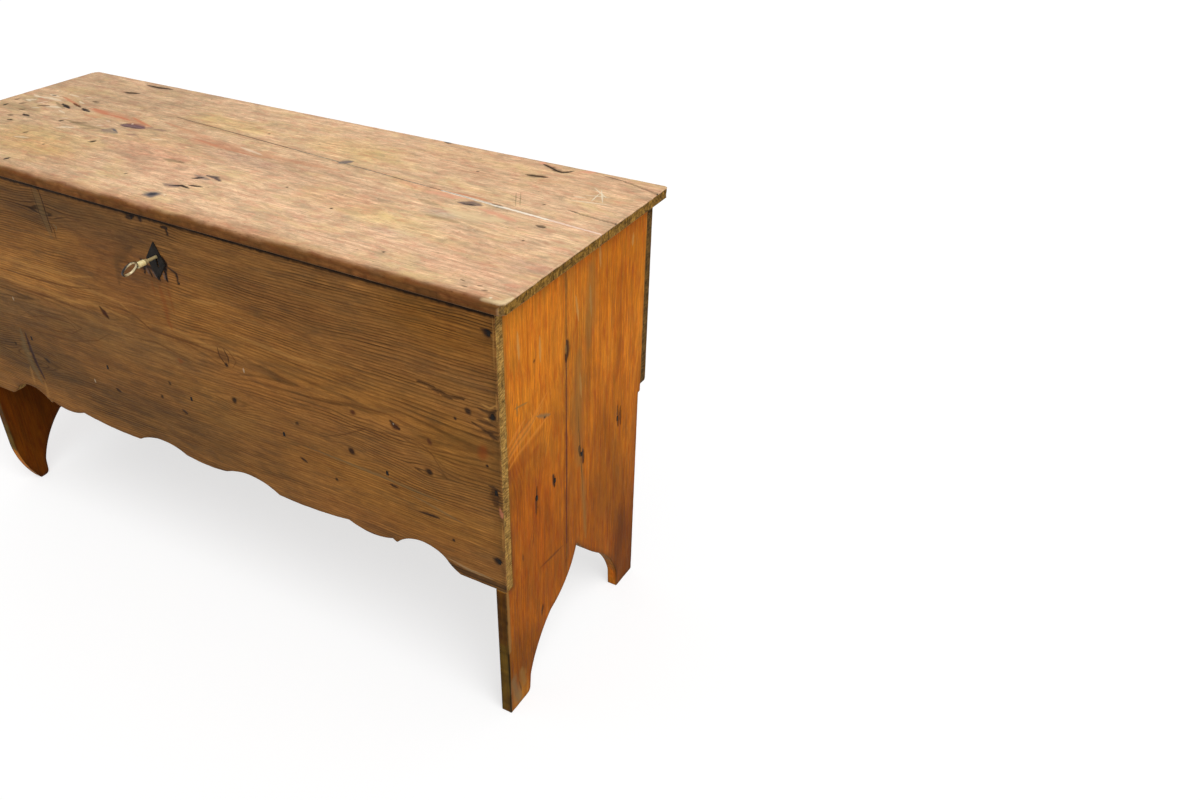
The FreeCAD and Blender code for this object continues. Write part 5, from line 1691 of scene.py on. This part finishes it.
def lid_staple(side):
    """Loop round the case's eye, with two legs through the lid and hammered flat on it."""
    x = HINGE_X[side]
    turns = np.linspace(0, 2 * math.pi, 28, endpoint=False)
    ring = np.stack([np.full(28, x), HINGE_Y + LOOP_RADIUS * np.cos(turns), HINGE_Z + LOOP_RADIUS * np.sin(turns)], 1)
    slit = [(p + CORNER_X, q + CORNER_Y, CLINCH_Z) for p, q in HINGE_SLITS[side]]
    wave = [(p + CORNER_X, q + CORNER_Y, CLINCH_Z) for p, q in HINGE_CLINCHES[side]]
    fore_y, rear_y = HINGE_Y - LEG_SPACING / 2, HINGE_Y + LEG_SPACING / 2
    foot = HINGE_Z + LOOP_RADIUS
    fore = [(x, fore_y, foot), (x, fore_y, SUNK_Z), (x, slit[0][1] + 8, SUNK_Z), (slit[0][0], slit[0][1], SUNK_Z)]
    rear = [(x, rear_y, foot), (x, rear_y, SUNK_Z), (wave[0][0], wave[0][1], SUNK_Z)]
    wire = LOOP_WIRE / 2
    tubes = [tube(ring, wire, 71, True), tube(smooth_path(fore + slit), wire * 0.95, 72)]
    tubes.append(tube(smooth_path(rear + wave), wire * 0.95, 73))
    join_tubes(side + "_lid_staple", tubes, METALS["iron"], "lid", side + "_hinge_lid_staple")


for hinge_side in ("right", "left"):
    lid_staple(hinge_side)
for part in frame["record"]["subparts"]:
    if part["material_slot"] in METALS:
        metal_node = frame["nodes"][part["node"]]
        metal_node.data.materials.clear()
        metal_node.data.materials.append(METALS[part["material_slot"]])


# Floor, lights and camera


FLOOR_COLOUR = (0.42, 0.42, 0.42, 1.0)
FLOOR_GLOW = 0.62
FLOOR_REACH = 12.0
WORLD_LEVEL = 0.5


def seen_directly(paint):
    """1 for rays that show the background, and 0 for rays that light the object."""
    path = paint.node("ShaderNodeLightPath")
    seen = paint.math("ADD", path.outputs["Is Camera Ray"], path.outputs["Is Glossy Ray"], True)
    return paint.math("ADD", seen, path.outputs["Is Transmission Ray"], True)


def make_floor():
    mesh = bpy.data.meshes.new("floor_sheet")
    r = FLOOR_REACH
    corners = [(-r, -r, -0.0005), (r, -r, -0.0005), (r, r, -0.0005), (-r, r, -0.0005)]
    mesh.from_pydata(corners, [], [(0, 1, 2, 3)])
    sheet = bpy.data.objects.new("floor_sheet", mesh)
    bpy.context.scene.collection.objects.link(sheet)
    paint = Paint("white_floor")
    paint.shader.inputs["Specular IOR Level"].default_value = 0.0
    glow = paint.math("MULTIPLY", seen_directly(paint), FLOOR_GLOW)
    paint.put(paint.shader.inputs["Emission Strength"], glow)
    paint.shader.inputs["Emission Color"].default_value = (1, 1, 1, 1)
    mesh.materials.append(paint.finish(FLOOR_COLOUR, 0.9))


def sun(name, towards, strength, angle):
    """A soft sun that shines from the given direction."""
    data = bpy.data.lights.new(name, "SUN")
    data.energy = strength
    data.angle = math.radians(angle)
    lamp = bpy.data.objects.new(name, data)
    bpy.context.scene.collection.objects.link(lamp)
    lamp.location = Vector(towards) * 3.0
    lamp.rotation_mode = "QUATERNION"
    lamp.rotation_quaternion = Vector(towards).to_track_quat("Z", "Y")


def make_world():
    world = bpy.data.worlds.new("studio")
    bpy.context.scene.world = world
    world.use_nodes = True
    tree = world.node_tree
    back = tree.nodes["Background"]
    path = tree.nodes.new("ShaderNodeLightPath")
    seen = path.outputs["Is Camera Ray"]
    for kind in ("Is Glossy Ray", "Is Transmission Ray"):
        either = tree.nodes.new("ShaderNodeMath")
        either.operation = "MAXIMUM"
        tree.links.new(seen, either.inputs[0])
        tree.links.new(path.outputs[kind], either.inputs[1])
        seen = either.outputs[0]
    level = tree.nodes.new("ShaderNodeMapRange")
    tree.links.new(seen, level.inputs[0])
    level.inputs[3].default_value = WORLD_LEVEL
    level.inputs[4].default_value = 1.0
    tree.links.new(level.outputs[0], back.inputs["Strength"])
    back.inputs["Color"].default_value = (1, 1, 1, 1)


def make_camera():
    data = bpy.data.cameras.new("camera")
    data.sensor_width = SENSOR_WIDTH
    data.lens = FOCAL_PIXELS / IMAGE_WIDTH * SENSOR_WIDTH
    data.shift_x = (IMAGE_WIDTH / 2 - IMAGE_CENTRE[0]) / IMAGE_WIDTH
    data.shift_y = (IMAGE_CENTRE[1] - IMAGE_HEIGHT / 2) / IMAGE_WIDTH
    data.clip_start = 0.02
    camera = bpy.data.objects.new("camera", data)
    bpy.context.scene.collection.objects.link(camera)
    yaw, pitch, roll = (math.radians(a) for a in (CAMERA_YAW, CAMERA_PITCH, CAMERA_ROLL))
    forward = Vector((-math.sin(yaw) * math.cos(pitch), math.cos(yaw) * math.cos(pitch), -math.sin(pitch)))
    right = Vector((math.cos(yaw), math.sin(yaw), 0))
    up = right.cross(forward)
    turned_right = right * math.cos(roll) + up * math.sin(roll)
    turned_up = up * math.cos(roll) - right * math.sin(roll)
    columns = Matrix((turned_right, turned_up, -forward)).transposed()
    camera.matrix_world = Matrix.Translation(CAMERA_PLACE) @ columns.to_4x4()
    bpy.context.scene.camera = camera


make_floor()
make_world()
sun("key_sun", (0.50, -0.30, 0.81), 1.75, 40.0)
sun("side_sun", (0.95, -0.25, 0.35), 0.35, 60.0)
make_camera()
bpy.context.scene.view_settings.view_transform = "Standard"
